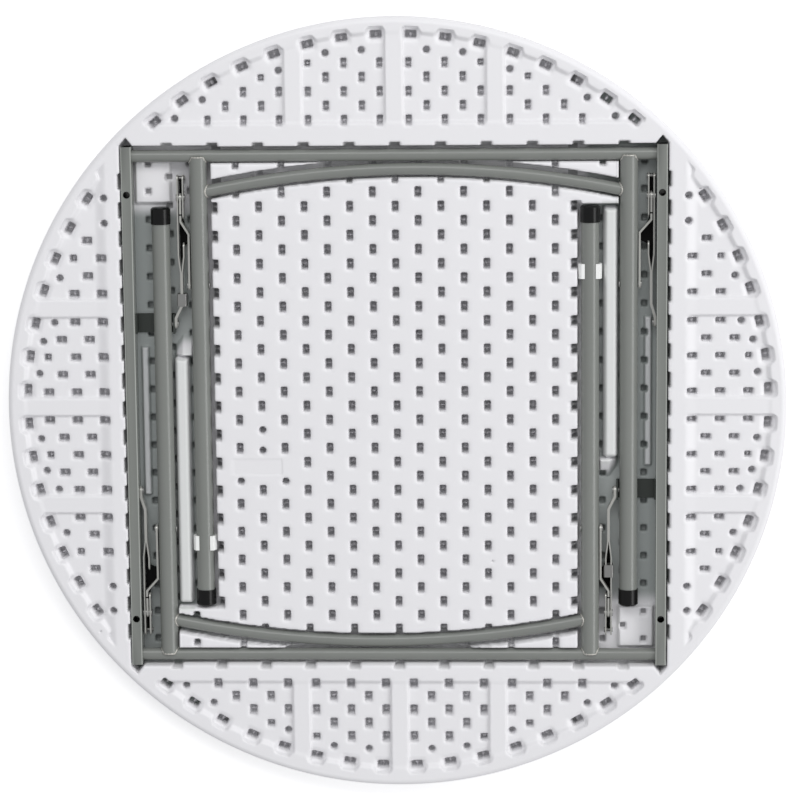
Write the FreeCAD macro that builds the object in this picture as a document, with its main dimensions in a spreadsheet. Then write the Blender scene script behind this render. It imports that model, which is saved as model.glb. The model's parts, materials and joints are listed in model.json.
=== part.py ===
"""Round folding table with a blow-moulded top, upside down on its working face, legs folded.

The origin is the centre of the working face and +Z points out of the underside.
The leg set that pivots at +Y is set a. Set b is the same set turned half round about Z.
"""
import FreeCAD, Part
import Sketcher
import math
import os

# Driving dimensions: name, value in millimetres or degrees, what it is
DIMENSIONS = [
    ("table_diameter", 1219, "outside of the round top"),
    ("table_thickness", 45, "working face to the rim of the underside"),
    ("face_rounding", 6, "edge round of the working face"),
    ("rim_rounding", 9, "edge round of the underside's rim"),
    ("rim_band", 22.5, "smooth band inside the rim"),
    ("floor_height", 9, "working face to the floor of the leg bays"),
    ("panel_sink", 3, "centre panel below the rim"),
    ("segment_sink", 3, "dimpled segments below the rim"),
    ("segment_rib", 28, "width of the plain ribs between segments"),
    ("rib_pitch", 156, "centre rib to side rib"),
    ("beam_width", 24, "smooth beam between a cross tube's groove and its segment"),
    ("side_beam_width", 22.5, "smooth beam between a rail and its segment"),
    ("pattern_across", 2, "moulding's pattern off the frame's centre, along X"),
    ("pattern_along", 4.6, "moulding's pattern off the frame's centre, along Y"),
    ("column_pitch", 35.4, "dimple columns of the centre panel"),
    ("row_pitch", 44.8, "dimples in one column of the centre panel"),
    ("segment_column", 55.7, "dimples in one row of a segment"),
    ("segment_row", 22, "dimple rows of a segment"),
    ("segment_start", 11.7, "beam's edge to a segment's first row"),
    ("segment_inset", 8.2, "rib's edge to a row's first dimple"),
    ("dimple_width", 10, "short side of a dimple"),
    ("dimple_length", 14, "long side of a dimple"),
    ("dimple_floor", 12, "working face to the bottom of a dimple"),
    ("rim_dimple_width", 14, "rim dimple along the rim"),
    ("rim_dimple_depth", 11, "rim dimple across the rim"),
    ("rim_dimple_count", 68, "dimples round the rim"),
    ("rim_dimple_inset", 7, "rim band's edge to a rim dimple's middle"),
    ("rim_dimple_room", 22, "rim dimple's middle to the nearest segment dimple's middle"),
    ("notch_width", 20, "length of one notch"),
    ("notch_depth", 7, "notch into the centre panel or a beam"),
    ("rail_notch_depth", 3.5, "notch beyond a rail"),
    ("corner_notch", 12, "pointed recess beyond each rail end"),
    ("rail_centre", 415, "table centre to a side rail's centre"),
    ("rail_width", 16, "side rail across"),
    ("rail_height", 34, "side rail upright"),
    ("rail_wall", 1.5, "side rail sheet"),
    ("rail_overhang", 15, "pivot axis to the rail's end"),
    ("rail_clearance", 2.5, "rail to the wall of its bay"),
    ("pivot_reach", 397, "table centre to a pivot axis"),
    ("pivot_height", 29, "working face to the pivot axes"),
    ("pivot_clearance", 0.08, "running fit of tubes and rivets"),
    ("cross_tube_diameter", 19, "cross tube outside"),
    ("cross_tube_play", 2, "cross tube end to the rail's outer wall"),
    ("tube_wall", 1.2, "wall of the frame tubes"),
    ("leg_diameter", 28, "leg tube outside"),
    ("leg_setback", 3, "leg tube's coped end to the pivot axis"),
    ("outer_brace_room", 43, "outer leg's axis to the rail"),
    ("leg_spacing", 60, "outer leg's axis to the other set's inner leg's axis"),
    ("foot_gap", 80, "folded foot to the other set's pivot axis"),
    ("weld_gap", 0.05, "tube ends to the tube that they are welded to"),
    ("stretcher_diameter", 19, "arched stretcher outside"),
    ("stretcher_end", 58, "pivot axis to the stretcher's ends"),
    ("stretcher_apex", 22, "pivot axis to the top of the stretcher's arch"),
    ("cap_wall", 1.5, "foot cap's wall"),
    ("cap_length", 26, "foot cap"),
    ("cap_base", 4, "foot cap's closed end"),
    ("cap_bevel", 2.5, "foot cap's bevelled edge"),
    ("groove_width", 28, "groove for a cross tube"),
    ("stretcher_groove", 28, "groove for a stretcher"),
    ("stretcher_room", 4, "extra groove on the side that a stretcher swings over"),
    ("standing_room", 1.5, "standing leg to the end of its bay"),
    ("foot_room", 4, "folded foot to the end of its bay"),
    ("corner_gap", 3, "outer leg to the panel's corner beside its pivot"),
    ("panel_gap", 21, "inner leg's axis to the centre panel"),
    ("ridge_width", 20, "tall ridge between the legs"),
    ("ridge_rounding", 7, "rounded top of the tall ridge"),
    ("ridge_reach", 338, "table centre to the tall ridge's middle"),
    ("ridge_height", 36, "working face to the tall ridge's top"),
    ("ridge_start", 81, "tall ridge's end near the brace"),
    ("ridge_end", 315, "tall ridge's end near the foot"),
    ("strip_width", 8, "narrow ridge beside the rail"),
    ("strip_height", 24, "working face to the narrow ridge's top"),
    ("strip_gap", 7, "narrow ridge to the rail"),
    ("strip_start", 95, "narrow ridge's end near the bracket"),
    ("strip_end", 141, "narrow ridge's other end"),
    ("access_hole", 11, "screwdriver hole in the rail's top"),
    ("screw_reach", 337.6, "table centre to the rail screws"),
    ("screw_diameter", 4.8, "rail screw shank"),
    ("screw_head", 9.5, "rail screw head"),
    ("screw_head_height", 3, "rail screw head"),
    ("screw_bite", 6.5, "rail screw in the moulding"),
    ("leg_pin_reach", 203, "pivot axis to the brace rivet on the leg"),
    ("frame_pin_reach", 264, "pivot axis to the brace rivet on the frame"),
    ("frame_pin_drop", 4, "pivot axis above the frame rivet"),
    ("fold_slack", 0.23, "folded brace short of its dead line"),
    ("bar_height", 14, "brace bars upright"),
    ("arm_thickness", 2, "fork arm and leaf sheet"),
    ("link_thickness", 3, "lower link"),
    ("link_gap", 1, "lower link to the leg"),
    ("arm_spread", 4.2, "fork arms to the link's centre plane"),
    ("inner_joggle", 11, "inner brace's step towards its bracket"),
    ("outer_joggle", 7.2, "outer brace's step towards the rail"),
    ("fork_tail", 36, "fork arm past the fold rivet"),
    ("lock_reach", 33, "lock plate from the fold rivet towards the frame"),
    ("leaf_reach", 70, "fold rivet to the leaf's free end"),
    ("spread_start", 91, "fold rivet to where the arms start to close"),
    ("spread_end", 117, "fold rivet to where the arms lie together"),
    ("joggle_start", 10, "frame rivet to the end of the step"),
    ("joggle_length", 20, "length of the step at the frame rivet"),
    ("link_joggle_start", 37, "fold rivet to the link's step"),
    ("link_joggle_length", 20, "length of the link's step"),
    ("pin_radius", 3, "brace rivet shanks"),
    ("pin_head_radius", 5.5, "brace rivet heads"),
    ("pin_head_height", 1.6, "brace rivet heads"),
    ("stop_radius", 2.5, "stop rivet shank"),
    ("stop_reach", 30, "fold rivet to the stop rivet"),
    ("stop_lobe", 2, "metal round the stop rivet"),
    ("play", 0.3, "gap between parts that move past each other"),
    ("bracket_sheet", 2.5, "brace bracket sheet"),
    ("bracket_width", 30, "brace bracket along the rail"),
    ("bracket_bend", 3, "brace bracket's outer bend radius"),
    ("bracket_flange", 20, "brace bracket up the rail's wall"),
    ("bracket_gap", 2.2, "brace bracket to the neighbouring leg"),
    ("ring_wall", 1.2, "lock ring sheet"),
    ("ring_length", 19.6, "lock ring along the brace"),
    ("ring_width", 12.4, "lock ring's opening across"),
    ("ring_height", 16, "lock ring's opening upright"),
    ("ring_corner", 2, "lock ring's outer corner"),
    ("ring_a_reach", 160, "fold rivet to the ring of set a"),
    ("ring_b_reach", 69, "fold rivet to the ring of set b"),
    ("clip_reach", 182, "pivot axis to the clip, along the other set's rail side"),
    ("clip_length", 23, "leg clip along the leg"),
    ("clip_wall", 4.2, "leg clip's jaw"),
    ("clip_base_width", 26, "leg clip's foot"),
    ("clip_mouth", 17, "leg clip's opening"),
    ("clip_lip", 12.5, "pivot axis height to the leg clip's lips"),
]

doc = FreeCAD.newDocument("FoldingTable")
sheet = doc.addObject("Spreadsheet::Sheet", "Size")
for row, (alias, value, meaning) in enumerate(DIMENSIONS, start=1):
    sheet.set(f"A{row}", meaning)
    sheet.set(f"B{row}", str(value))
    sheet.setAlias(f"B{row}", alias)
doc.recompute()

X, Y, Z = FreeCAD.Vector(1, 0, 0), FreeCAD.Vector(0, 1, 0), FreeCAD.Vector(0, 0, 1)
ORIGIN = FreeCAD.Vector()
HALF_TURN = FreeCAD.Placement(ORIGIN, FreeCAD.Rotation(Z, 180))
nodes = []


def size(alias):
    """The number in one cell of the sheet."""
    return float(sheet.get(alias))


# Places that several parts share, as expressions on the sheet
LEG_OUTER = "(Size.rail_centre - Size.rail_width / 2 - Size.outer_brace_room)"
LEG_INNER = f"({LEG_OUTER} - Size.leg_spacing)"
LEG_REACH = "(2 * Size.pivot_reach - Size.foot_gap)"
RAIL_HALF = "(Size.pivot_reach + Size.rail_overhang)"
LEG_SPAN = f"({LEG_INNER} + {LEG_OUTER})"
ARCH_RISE = "(Size.stretcher_end - Size.stretcher_apex)"
ARCH_RADIUS = f"((({LEG_SPAN} / 2) ^ 2 + {ARCH_RISE} ^ 2) / (2 * {ARCH_RISE}))"
TUBE_HALF = "(Size.rail_centre + Size.rail_width / 2 - Size.rail_wall - Size.cross_tube_play)"

# The same places as numbers, for the shapes that are worked out point by point
rail_face = size("rail_centre") - size("rail_width") / 2
leg_outer = rail_face - size("outer_brace_room")
leg_inner = leg_outer - size("leg_spacing")
leg_radius = size("leg_diameter") / 2
rail_half = size("pivot_reach") + size("rail_overhang")
arch_rise = size("stretcher_end") - size("stretcher_apex")
arch_half_span = (leg_inner + leg_outer) / 2
arch_radius = (arch_half_span ** 2 + arch_rise ** 2) / (2 * arch_rise)
arch_centre = FreeCAD.Vector(
    (leg_outer - leg_inner) / 2, size("pivot_reach") - size("stretcher_apex") - arch_radius, 0)


def bind(obj, **expressions):
    """Bind an object's properties to the sheet."""
    for name, expression in expressions.items():
        obj.setExpression(name, expression)
    return obj


def place(obj, x="0", y="0", z="0", rotation=FreeCAD.Rotation(), turned=False):
    """Put an object at expressions of the sheet, turned half round about Z for set b."""
    if turned:
        rotation = HALF_TURN.Rotation.multiply(rotation)
        x, y = f"-({x})", f"-({y})"
    obj.Placement = FreeCAD.Placement(ORIGIN, rotation)
    for axis, expression in zip("xyz", (x, y, z)):
        obj.setExpression(f".Placement.Base.{axis}", expression)
    return obj


def keep(obj, label):
    """Name a finished sub-part and list it for export."""
    obj.Label = label
    nodes.append(obj)
    return obj


def feature(name, shape):
    """A sub-part whose shape is worked out here."""
    obj = doc.addObject("Part::Feature", name)
    obj.Shape = shape
    return obj


def cylinder(name, radius, height, **where):
    """A round bar bound to the sheet."""
    obj = bind(doc.addObject("Part::Cylinder", name), Radius=radius, Height=height)
    return place(obj, **where)


def cut(name, base, tools):
    """One solid with others taken away."""
    tool = tools[0]
    if len(tools) > 1:
        tool = doc.addObject("Part::MultiFuse", f"{name}_tools")
        tool.Shapes = tools
    obj = doc.addObject("Part::Cut", name)
    obj.Base, obj.Tool = base, tool
    return obj


def plane(body, role):
    """One of a body's own origin planes."""
    return next(item for item in body.Origin.OriginFeatures if item.Role == role)


def sketch_on(body, role, offset=None):
    """An empty sketch on an origin plane, lifted off it by an expression."""
    sketch = body.newObject("Sketcher::SketchObject", f"{body.Name}_sketch")
    sketch.AttachmentSupport = [(plane(body, role), "")]
    sketch.MapMode = "FlatFace"
    if offset:
        sketch.setExpression(".AttachmentOffset.Base.z", offset)
    return sketch


def draw_polygon(sketch, corners):
    """A closed outline, each corner held by two distances bound to the sheet."""
    count = len(corners)
    turn = [2 * math.pi * index / count for index in range(count)]
    spots = [FreeCAD.Vector(math.cos(angle), math.sin(angle), 0) for angle in turn]
    first = sketch.GeometryCount
    for index in range(count):
        sketch.addGeometry(Part.LineSegment(spots[index], spots[(index + 1) % count]))
    for index, (x, y) in enumerate(corners):
        line, before = first + index, first + (index - 1) % count
        sketch.addConstraint(Sketcher.Constraint("Coincident", before, 2, line, 1))
        for kind, value, start in (("DistanceX", x, spots[index].x), ("DistanceY", y, spots[index].y)):
            constraint = sketch.addConstraint(Sketcher.Constraint(kind, -1, 1, line, 1, start))
            sketch.setExpression(f"Constraints[{constraint}]", value)


def draw_box(sketch, left, right, low, high):
    """A rectangle between four expressions."""
    draw_polygon(sketch, [(left, low), (right, low), (right, high), (left, high)])


def draw_circle(sketch, x, y, radius):
    """A circle whose centre and radius are bound to the sheet."""
    circle = sketch.addGeometry(Part.Circle(FreeCAD.Vector(1, 1, 0), Z, 1))
    for constraint, value in (
            (Sketcher.Constraint("DistanceX", -1, 1, circle, 3, 1), x),
            (Sketcher.Constraint("DistanceY", -1, 1, circle, 3, 1), y),
            (Sketcher.Constraint("Radius", circle, 1), radius)):
        index = sketch.addConstraint(constraint)
        sketch.setExpression(f"Constraints[{index}]", value)


def pad(body, sketch, length, midplane=False):
    """A pad of a bound length, centred on its sketch where asked."""
    obj = body.newObject("PartDesign::Pad", f"{body.Name}_pad")
    obj.Profile = sketch
    obj.SideType = "Symmetric" if midplane else "One side"
    return bind(obj, Length=length)


def pocket(body, sketch, reverse=False, both=False):
    """A pocket through all of one side, or of both sides."""
    obj = body.newObject("PartDesign::Pocket", f"{body.Name}_pocket")
    obj.Profile = sketch
    obj.Type = "ThroughAll"
    obj.Reversed = reverse
    obj.SideType = "Symmetric" if both else "One side"
    return obj


def revolution(body, sketch):
    """A full turn of a sketch about its upright axis."""
    obj = body.newObject("PartDesign::Revolution", f"{body.Name}_turn")
    obj.Profile = sketch
    obj.ReferenceAxis = (sketch, ["V_Axis"])
    obj.Angle = 360
    return obj


def fillet(body, base, radius, wanted):
    """Round the edges of a feature for which wanted says yes."""
    doc.recompute()
    edges = [f"Edge{index}" for index, edge in enumerate(base.Shape.Edges, start=1) if wanted(edge)]
    obj = body.newObject("PartDesign::Fillet", f"{body.Name}_round")
    obj.Base = (base, edges)
    return bind(obj, Radius=radius)


def is_circle_at(edge, z, radius):
    """Whether an edge is a circle about Z at a height, of a radius."""
    curve = edge.Curve
    return (curve.TypeId == "Part::GeomCircle" and abs(curve.Center.z - z) < 1e-6
            and abs(curve.Radius - radius) < 1e-6)


def is_upright(edge):
    """Whether an edge is a straight line along the sketch normal of a pad on the XY plane."""
    return edge.Curve.TypeId == "Part::GeomLine" and abs(edge.Curve.Direction.z) > 0.999


# Round top: a turned blank, then the bays, grooves and sunk fields of its underside
def make_blank():
    """The outer form of the blow moulding."""
    body = doc.addObject("PartDesign::Body", "blank")
    sketch = sketch_on(body, "XZ_Plane")
    draw_box(sketch, "0", "Size.table_diameter / 2", "0", "Size.table_thickness")
    turned = revolution(body, sketch)
    radius, top = size("table_diameter") / 2, size("table_thickness")
    lower = fillet(body, turned, "Size.face_rounding", lambda edge: is_circle_at(edge, 0, radius))
    fillet(body, lower, "Size.rim_rounding", lambda edge: is_circle_at(edge, top, radius))
    return body


def block(x_low, x_high, y_low, y_high, z_low, z_high):
    """A box between six coordinates."""
    return Part.makeBox(x_high - x_low, y_high - y_low, z_high - z_low,
                        FreeCAD.Vector(x_low, y_low, z_low))


def turned_pair(shape):
    """A shape and its copy turned half round about Z."""
    other = shape.copy()
    other.rotate(ORIGIN, Z, 180)
    return [shape, other]


def mirrored_pair(shape, normal):
    """A shape and its mirror image across the plane through the origin with this normal."""
    return [shape, shape.mirror(ORIGIN, normal)]


def on_pattern(shapes):
    """Shapes drawn about the origin, moved to the centre of the moulding's pattern."""
    for shape in shapes:
        shape.translate(FreeCAD.Vector(size("pattern_across"), size("pattern_along"), 0))
    return shapes


def arch_band(low, high):
    """The space along a stretcher's arch and where it swings up, between the legs' axes."""
    half_width = size("stretcher_groove") / 2
    beyond = arch_radius + half_width + size("stretcher_room")
    outer = Part.makeCylinder(beyond, high - low, arch_centre + Z * low)
    inner = Part.makeCylinder(arch_radius - half_width, high - low, arch_centre + Z * low)
    band = outer.cut(inner)
    keep_box = block(-leg_inner, leg_outer, 0, rail_half, low, high)
    return band.common(keep_box)


def bay_bounds():
    """Inner and outer edge of the leg bays and the beams' inner edge beyond the cross tubes."""
    inner = leg_inner - size("panel_gap")
    outer = rail_face + size("rail_width") + size("rail_clearance")
    end = size("pivot_reach") + size("groove_width") / 2
    return inner, outer, end


def corner_edge():
    """Outer edge of the panel's corners, which fill the bays beside the outer legs' pivots."""
    return leg_outer - leg_radius - size("corner_gap")


def make_bays():
    """Leg bays, tube grooves, stretcher grooves and the notches along their edges."""
    floor, top = size("floor_height"), size("table_thickness")
    bay_in, bay_out, groove_end = bay_bounds()
    rail_end = rail_half + size("rail_clearance")
    groove_start = groove_end - size("groove_width")
    bay_end = size("pivot_reach") + leg_radius + size("standing_room")
    foot_end = size("pivot_reach") - size("foot_gap") + size("foot_room")
    shapes = turned_pair(block(bay_in, corner_edge(), -bay_end, foot_end, floor, top))
    shapes += turned_pair(block(corner_edge(), rail_face, -bay_end, bay_end, floor, top))
    shapes += turned_pair(block(rail_face - size("rail_clearance"), bay_out, -rail_end, rail_end, floor, top))
    shapes += turned_pair(block(-corner_edge(), corner_edge(), groove_start, groove_end, floor, top))
    shapes += turned_pair(arch_band(floor, top))
    half, depth = size("notch_width") / 2, size("notch_depth")
    pitch = size("row_pitch")
    rows = int(size("pivot_reach") / pitch)
    for row in range(-rows, rows + 1):
        middle = row * pitch + size("pattern_along")
        shapes += mirrored_pair(block(bay_out, bay_out + size("rail_notch_depth"),
                                      middle - half, middle + half, floor, top), X)
        if abs(middle) + half < size("pivot_reach") - size("stretcher_end"):
            shapes += mirrored_pair(
                block(bay_in - depth, bay_in, middle - half, middle + half, floor, top), X)
    pitch = 2 * size("column_pitch")
    columns = int(leg_outer / pitch)
    for column in range(-columns, columns + 1):
        middle = column * pitch + size("pattern_across")
        shapes += mirrored_pair(
            block(middle - half, middle + half, groove_end, groove_end + depth, floor, top), Y)
    point = size("corner_notch")
    corner = Part.makePolygon([
        FreeCAD.Vector(rail_face - size("rail_clearance"), rail_end, floor),
        FreeCAD.Vector(bay_out, rail_end, floor),
        FreeCAD.Vector(size("rail_centre"), rail_end + point, floor),
        FreeCAD.Vector(rail_face - size("rail_clearance"), rail_end, floor)])
    prism = Part.Face(corner).extrude(Z * (top - floor))
    for shape in turned_pair(prism):
        shapes += [shape, shape.mirror(ORIGIN, X)]
    return shapes[0].fuse(shapes[1:]).removeSplitter()


def make_ridges():
    """Raised ridges that stand on the floor of the bays."""
    floor = size("floor_height")
    middle, half = size("ridge_reach"), size("ridge_width") / 2
    tall = block(-middle - half, -middle + half, -size("ridge_end"), size("ridge_start"),
                 floor, size("ridge_height"))
    crest = [edge for edge in tall.Edges if edge.BoundBox.ZMin > floor]
    tall = tall.makeFillet(size("ridge_rounding"), crest)
    strip_edge = rail_face - size("strip_gap")
    low = block(-strip_edge, -strip_edge + size("strip_width"), -size("strip_end"), size("strip_start"),
                floor, size("strip_height"))
    return turned_pair(tall) + turned_pair(low)


def segment_fields():
    """The sunk fields of the four segments, between their beams, ribs and the rim band."""
    top, sunk = size("table_thickness"), size("table_thickness") - size("segment_sink")
    _, bay_out, groove_end = bay_bounds()
    side = bay_out + size("side_beam_width")
    end = groove_end + size("beam_width")
    disc = Part.makeCylinder(size("table_diameter") / 2 - size("rim_band"), top - sunk, Z * sunk)
    far = size("table_diameter")
    half_rib = size("segment_rib") / 2
    middle_block = block(-side, side, -end, end, sunk, top)
    ribs = [middle_block]
    for place_on in (-size("rib_pitch"), 0, size("rib_pitch")):
        ribs.append(block(place_on - half_rib, place_on + half_rib, -far, far, sunk, top))
        ribs.append(block(-far, far, place_on - half_rib, place_on + half_rib, sunk, top))
    corners = [block(-far, -side, -far, -end, sunk, top), block(side, far, end, far, sunk, top),
               block(-far, -side, end, far, sunk, top), block(side, far, -far, -end, sunk, top)]
    return on_pattern(disc.cut(ribs + corners).Solids)


def panel_field():
    """The sunk centre panel and its corners."""
    top, sunk = size("table_thickness"), size("table_thickness") - size("panel_sink")
    end = size("pivot_reach") - size("groove_width") / 2
    return block(-corner_edge(), corner_edge(), -end, end, sunk, top)


def dimple(x, y, across, along):
    """One kiss-off dimple, from the rim level down."""
    low, top = size("dimple_floor"), size("table_thickness")
    return block(x - across / 2, x + across / 2, y - along / 2, y + along / 2, low, top)


def panel_dimples():
    """Staggered dimples of the centre panel, kept inside the stretchers' grooves."""
    shapes = []
    width, length = size("dimple_width"), size("dimple_length")
    pitch, step = size("column_pitch"), size("row_pitch")
    bay_in, _, groove_end = bay_bounds()
    columns = int((bay_in - size("notch_depth") - width) / pitch)
    reach = arch_radius - size("stretcher_groove") / 2 - length
    for column in range(-columns, columns + 1):
        shift = step / 2 if column % 2 else 0
        rows = int(groove_end / step) + 1
        for row in range(-rows, rows + 1):
            x = column * pitch + size("pattern_across")
            y = row * step + shift + size("pattern_along")
            inside_top = math.hypot(x - arch_centre.x, y - arch_centre.y) < reach
            inside_low = math.hypot(x + arch_centre.x, y + arch_centre.y) < reach
            if inside_top and inside_low:
                shapes.append(dimple(x, y, width, length))
    return shapes


def rim_ring():
    """Radius of the ring of rim dimples about the pattern's centre."""
    return size("table_diameter") / 2 - size("rim_band") - size("rim_dimple_inset")


def segment_dimples():
    """Dimples of the segments: rows that run along the table's edge, alternate rows shifted.

    Each row starts anew beside a rib, so the pattern is the same on both sides of it.
    """
    shapes = []
    width, length = size("dimple_width"), size("dimple_length")
    pitch, half_rib = size("segment_column"), size("segment_rib") / 2
    _, bay_out, groove_end = bay_bounds()
    limit = rim_ring() - size("rim_dimple_room")
    cell_length = size("rib_pitch") - 2 * half_rib
    for edge, upright in ((groove_end + size("beam_width"), True), (bay_out + size("side_beam_width"), False)):
        first = edge + size("segment_start")
        rows = int((limit - first) / size("segment_row")) + 1
        for row in range(rows):
            far = first + row * size("segment_row")
            shift = pitch / 2 if row % 2 else 0
            for rib, cell in ((0, cell_length), (size("rib_pitch"), limit)):
                count = int((cell - size("segment_inset") - shift) / pitch) + 1
                for column in range(count):
                    side = rib + half_rib + size("segment_inset") + shift + column * pitch
                    if math.hypot(side, far) > limit:
                        continue
                    for x in (-side, side):
                        shape = dimple(x, far, width, length) if upright else dimple(far, x, length, width)
                        shapes += turned_pair(shape)
    return on_pattern(shapes)


def rim_dimples():
    """The ring of larger dimples just inside the rim band, none beside the frame's corners."""
    shapes = []
    count = int(size("rim_dimple_count"))
    _, bay_out, groove_end = bay_bounds()
    side, end = bay_out + size("side_beam_width"), groove_end + size("beam_width")
    for index in range(count):
        angle = 360 * (index + 0.5) / count
        x, y = rim_ring() * math.cos(math.radians(angle)), rim_ring() * math.sin(math.radians(angle))
        if abs(x) < side and abs(y) < end:
            continue
        shape = dimple(0, 0, size("rim_dimple_width"), size("rim_dimple_depth"))
        shape.rotate(ORIGIN, Z, angle - 90)
        shape.translate(FreeCAD.Vector(x, y, 0))
        shapes.append(shape)
    return on_pattern(shapes)


def screw_holes():
    """Blind holes for the rail screws in the floor of the bays."""
    floor = size("floor_height")
    radius = size("screw_diameter") / 2 + size("weld_gap")
    depth = size("screw_bite") + size("play")
    shapes = []
    for y in (-size("screw_reach"), size("screw_reach")):
        shapes += turned_pair(Part.makeCylinder(
            radius, depth, FreeCAD.Vector(size("rail_centre"), y, floor - depth)))
    return shapes


def make_tabletop():
    """The round top as one moulding."""
    bays = make_bays().cut(make_ridges())
    recess = feature("tabletop_recess", bays.fuse(segment_fields() + [panel_field()]))
    pits = feature("tabletop_pits", Part.makeCompound(
        panel_dimples() + segment_dimples() + rim_dimples() + screw_holes()))
    return keep(cut("tabletop_cut", cut("tabletop_form", make_blank(), [recess]), [pits]), "tabletop")


# Side rails: rectangular tubes with holes for the cross tubes, screws and outer braces
def make_rail(label, turned):
    """One side rail; its own X points out of the table and its own Z up."""
    body = doc.addObject("PartDesign::Body", f"{label}_body")
    section = sketch_on(body, "XZ_Plane")
    half, height = "Size.rail_width / 2", "Size.rail_height"
    draw_box(section, f"-{half}", half, "0", height)
    draw_box(section, f"-({half} - Size.rail_wall)", f"{half} - Size.rail_wall",
             "Size.rail_wall", f"{height} - Size.rail_wall")
    pad(body, section, f"2 * {RAIL_HALF}", midplane=True)
    inner_wall = sketch_on(body, "YZ_Plane")
    for sign in ("", "-"):
        draw_circle(inner_wall, f"{sign}Size.pivot_reach", "Size.pivot_height - Size.floor_height",
                    "Size.cross_tube_diameter / 2 + Size.pivot_clearance")
    draw_circle(inner_wall, "Size.pivot_reach - Size.frame_pin_reach",
                "Size.pivot_height - Size.frame_pin_drop - Size.floor_height",
                "Size.pin_radius + Size.pivot_clearance")
    pocket(body, inner_wall)
    top_wall = sketch_on(body, "XY_Plane", "Size.rail_height / 2")
    bottom_wall = sketch_on(body, "XY_Plane", "Size.rail_height / 2")
    for sign in ("", "-"):
        draw_circle(top_wall, "0", f"{sign}Size.screw_reach", "Size.access_hole / 2")
        draw_circle(bottom_wall, "0", f"{sign}Size.screw_reach", "Size.screw_diameter / 2 + Size.play")
    pocket(body, top_wall, reverse=True)
    pocket(body, bottom_wall)
    place(body, x="Size.rail_centre", z="Size.floor_height", turned=turned)
    return keep(body, label)


def make_screws():
    """The four rail screws, heads on the rails' bottom walls."""
    seat = size("floor_height") + size("rail_wall")
    shank = size("screw_diameter") / 2
    shapes = []
    for y in (-size("screw_reach"), size("screw_reach")):
        spot = FreeCAD.Vector(size("rail_centre"), y, seat)
        head = Part.makeCylinder(size("screw_head") / 2, size("screw_head_height"), spot)
        length = size("screw_bite") + size("rail_wall")
        body = Part.makeCylinder(shank, length, spot - Z * length)
        shapes += turned_pair(head.fuse(body).removeSplitter())
    return keep(feature("screw_group", Part.makeCompound(shapes)), "rail_screws")


# Leg sets: cross tube, two legs, an arched stretcher and two foot caps
ALONG_X = FreeCAD.Rotation(Y, 90)
TOWARDS_FOOT = FreeCAD.Rotation(X, 90)
TOWARDS_PIVOT = FreeCAD.Rotation(X, -90)


def set_name(turned):
    """The letter of a leg set."""
    return "b" if turned else "a"


def make_cross_tube(turned):
    """The tube that turns in both rails."""
    where = dict(x=f"-{TUBE_HALF}", y="Size.pivot_reach", z="Size.pivot_height", rotation=ALONG_X)
    name = f"cross_{set_name(turned)}"
    outside = cylinder(f"{name}_outside", "Size.cross_tube_diameter / 2", f"2 * {TUBE_HALF}", **where)
    bore = cylinder(f"{name}_bore", "Size.cross_tube_diameter / 2 - Size.tube_wall",
                    f"2 * {TUBE_HALF}", **where)
    tube = cut(name, outside, [bore])
    if turned:
        tube.Placement = HALF_TURN
    return keep(tube, f"cross_tube_{set_name(turned)}")


def leg_at(turned, side):
    """Name and x of a leg, as an expression: the inner one lies at -x in set a."""
    return f"{side}_leg_{set_name(turned)}", f"-{LEG_INNER}" if side == "inner" else LEG_OUTER


def make_leg(turned, side):
    """One leg tube, coped over the cross tube and drilled for its brace rivet."""
    name, x = leg_at(turned, side)
    start = "Size.pivot_reach - Size.leg_setback"
    length = f"{LEG_REACH} - Size.leg_setback - Size.cap_base"
    where = dict(x=x, y=start, z="Size.pivot_height", rotation=TOWARDS_FOOT)
    outside = cylinder(f"{name}_outside", "Size.leg_diameter / 2", length, **where)
    bore = cylinder(f"{name}_bore", "Size.leg_diameter / 2 - Size.tube_wall", length, **where)
    cope = cylinder(f"{name}_cope", "Size.cross_tube_diameter / 2 + Size.weld_gap",
                    f"2 * {TUBE_HALF}", x=f"-{TUBE_HALF}", y="Size.pivot_reach",
                    z="Size.pivot_height", rotation=ALONG_X)
    drill = cylinder(f"{name}_drill", "Size.pin_radius", "Size.leg_diameter",
                     x=f"{x} - Size.leg_diameter / 2", y="Size.pivot_reach - Size.leg_pin_reach",
                     z="Size.pivot_height", rotation=ALONG_X)
    leg = cut(name, outside, [bore, cope, drill])
    if turned:
        leg.Placement = HALF_TURN
    return keep(leg, f"leg_tube_{set_name(turned)}_{side}")


def make_stretcher(turned):
    """The arched tube between the two legs of a set."""
    name = f"stretcher_{set_name(turned)}"
    half_angle = f"asin({LEG_SPAN} / 2 / {ARCH_RADIUS})"
    rings = []
    for part, radius in (("outside", "Size.stretcher_diameter / 2"),
                         ("bore", "Size.stretcher_diameter / 2 - Size.tube_wall")):
        ring = doc.addObject("Part::Torus", f"{name}_{part}")
        bind(ring, Radius1=ARCH_RADIUS, Radius2=radius, Angle3=f"2 * {half_angle}")
        place(ring, x=f"({LEG_OUTER} - {LEG_INNER}) / 2",
              y=f"Size.pivot_reach - Size.stretcher_apex - {ARCH_RADIUS}", z="Size.pivot_height")
        ring.setExpression(".Placement.Rotation.Angle", f"90 deg - {half_angle}")
        rings.append(ring)
    copes = [
        cylinder(f"{name}_cope_{side}", "Size.leg_diameter / 2 + Size.weld_gap", LEG_REACH,
                 x=leg_at(turned, side)[1], y="Size.pivot_reach", z="Size.pivot_height",
                 rotation=TOWARDS_FOOT)
        for side in ("inner", "outer")]
    tube = cut(f"{name}_cut", rings[0], [rings[1]] + copes)
    if turned:
        tube.Placement = HALF_TURN
    return keep(tube, name)


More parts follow.
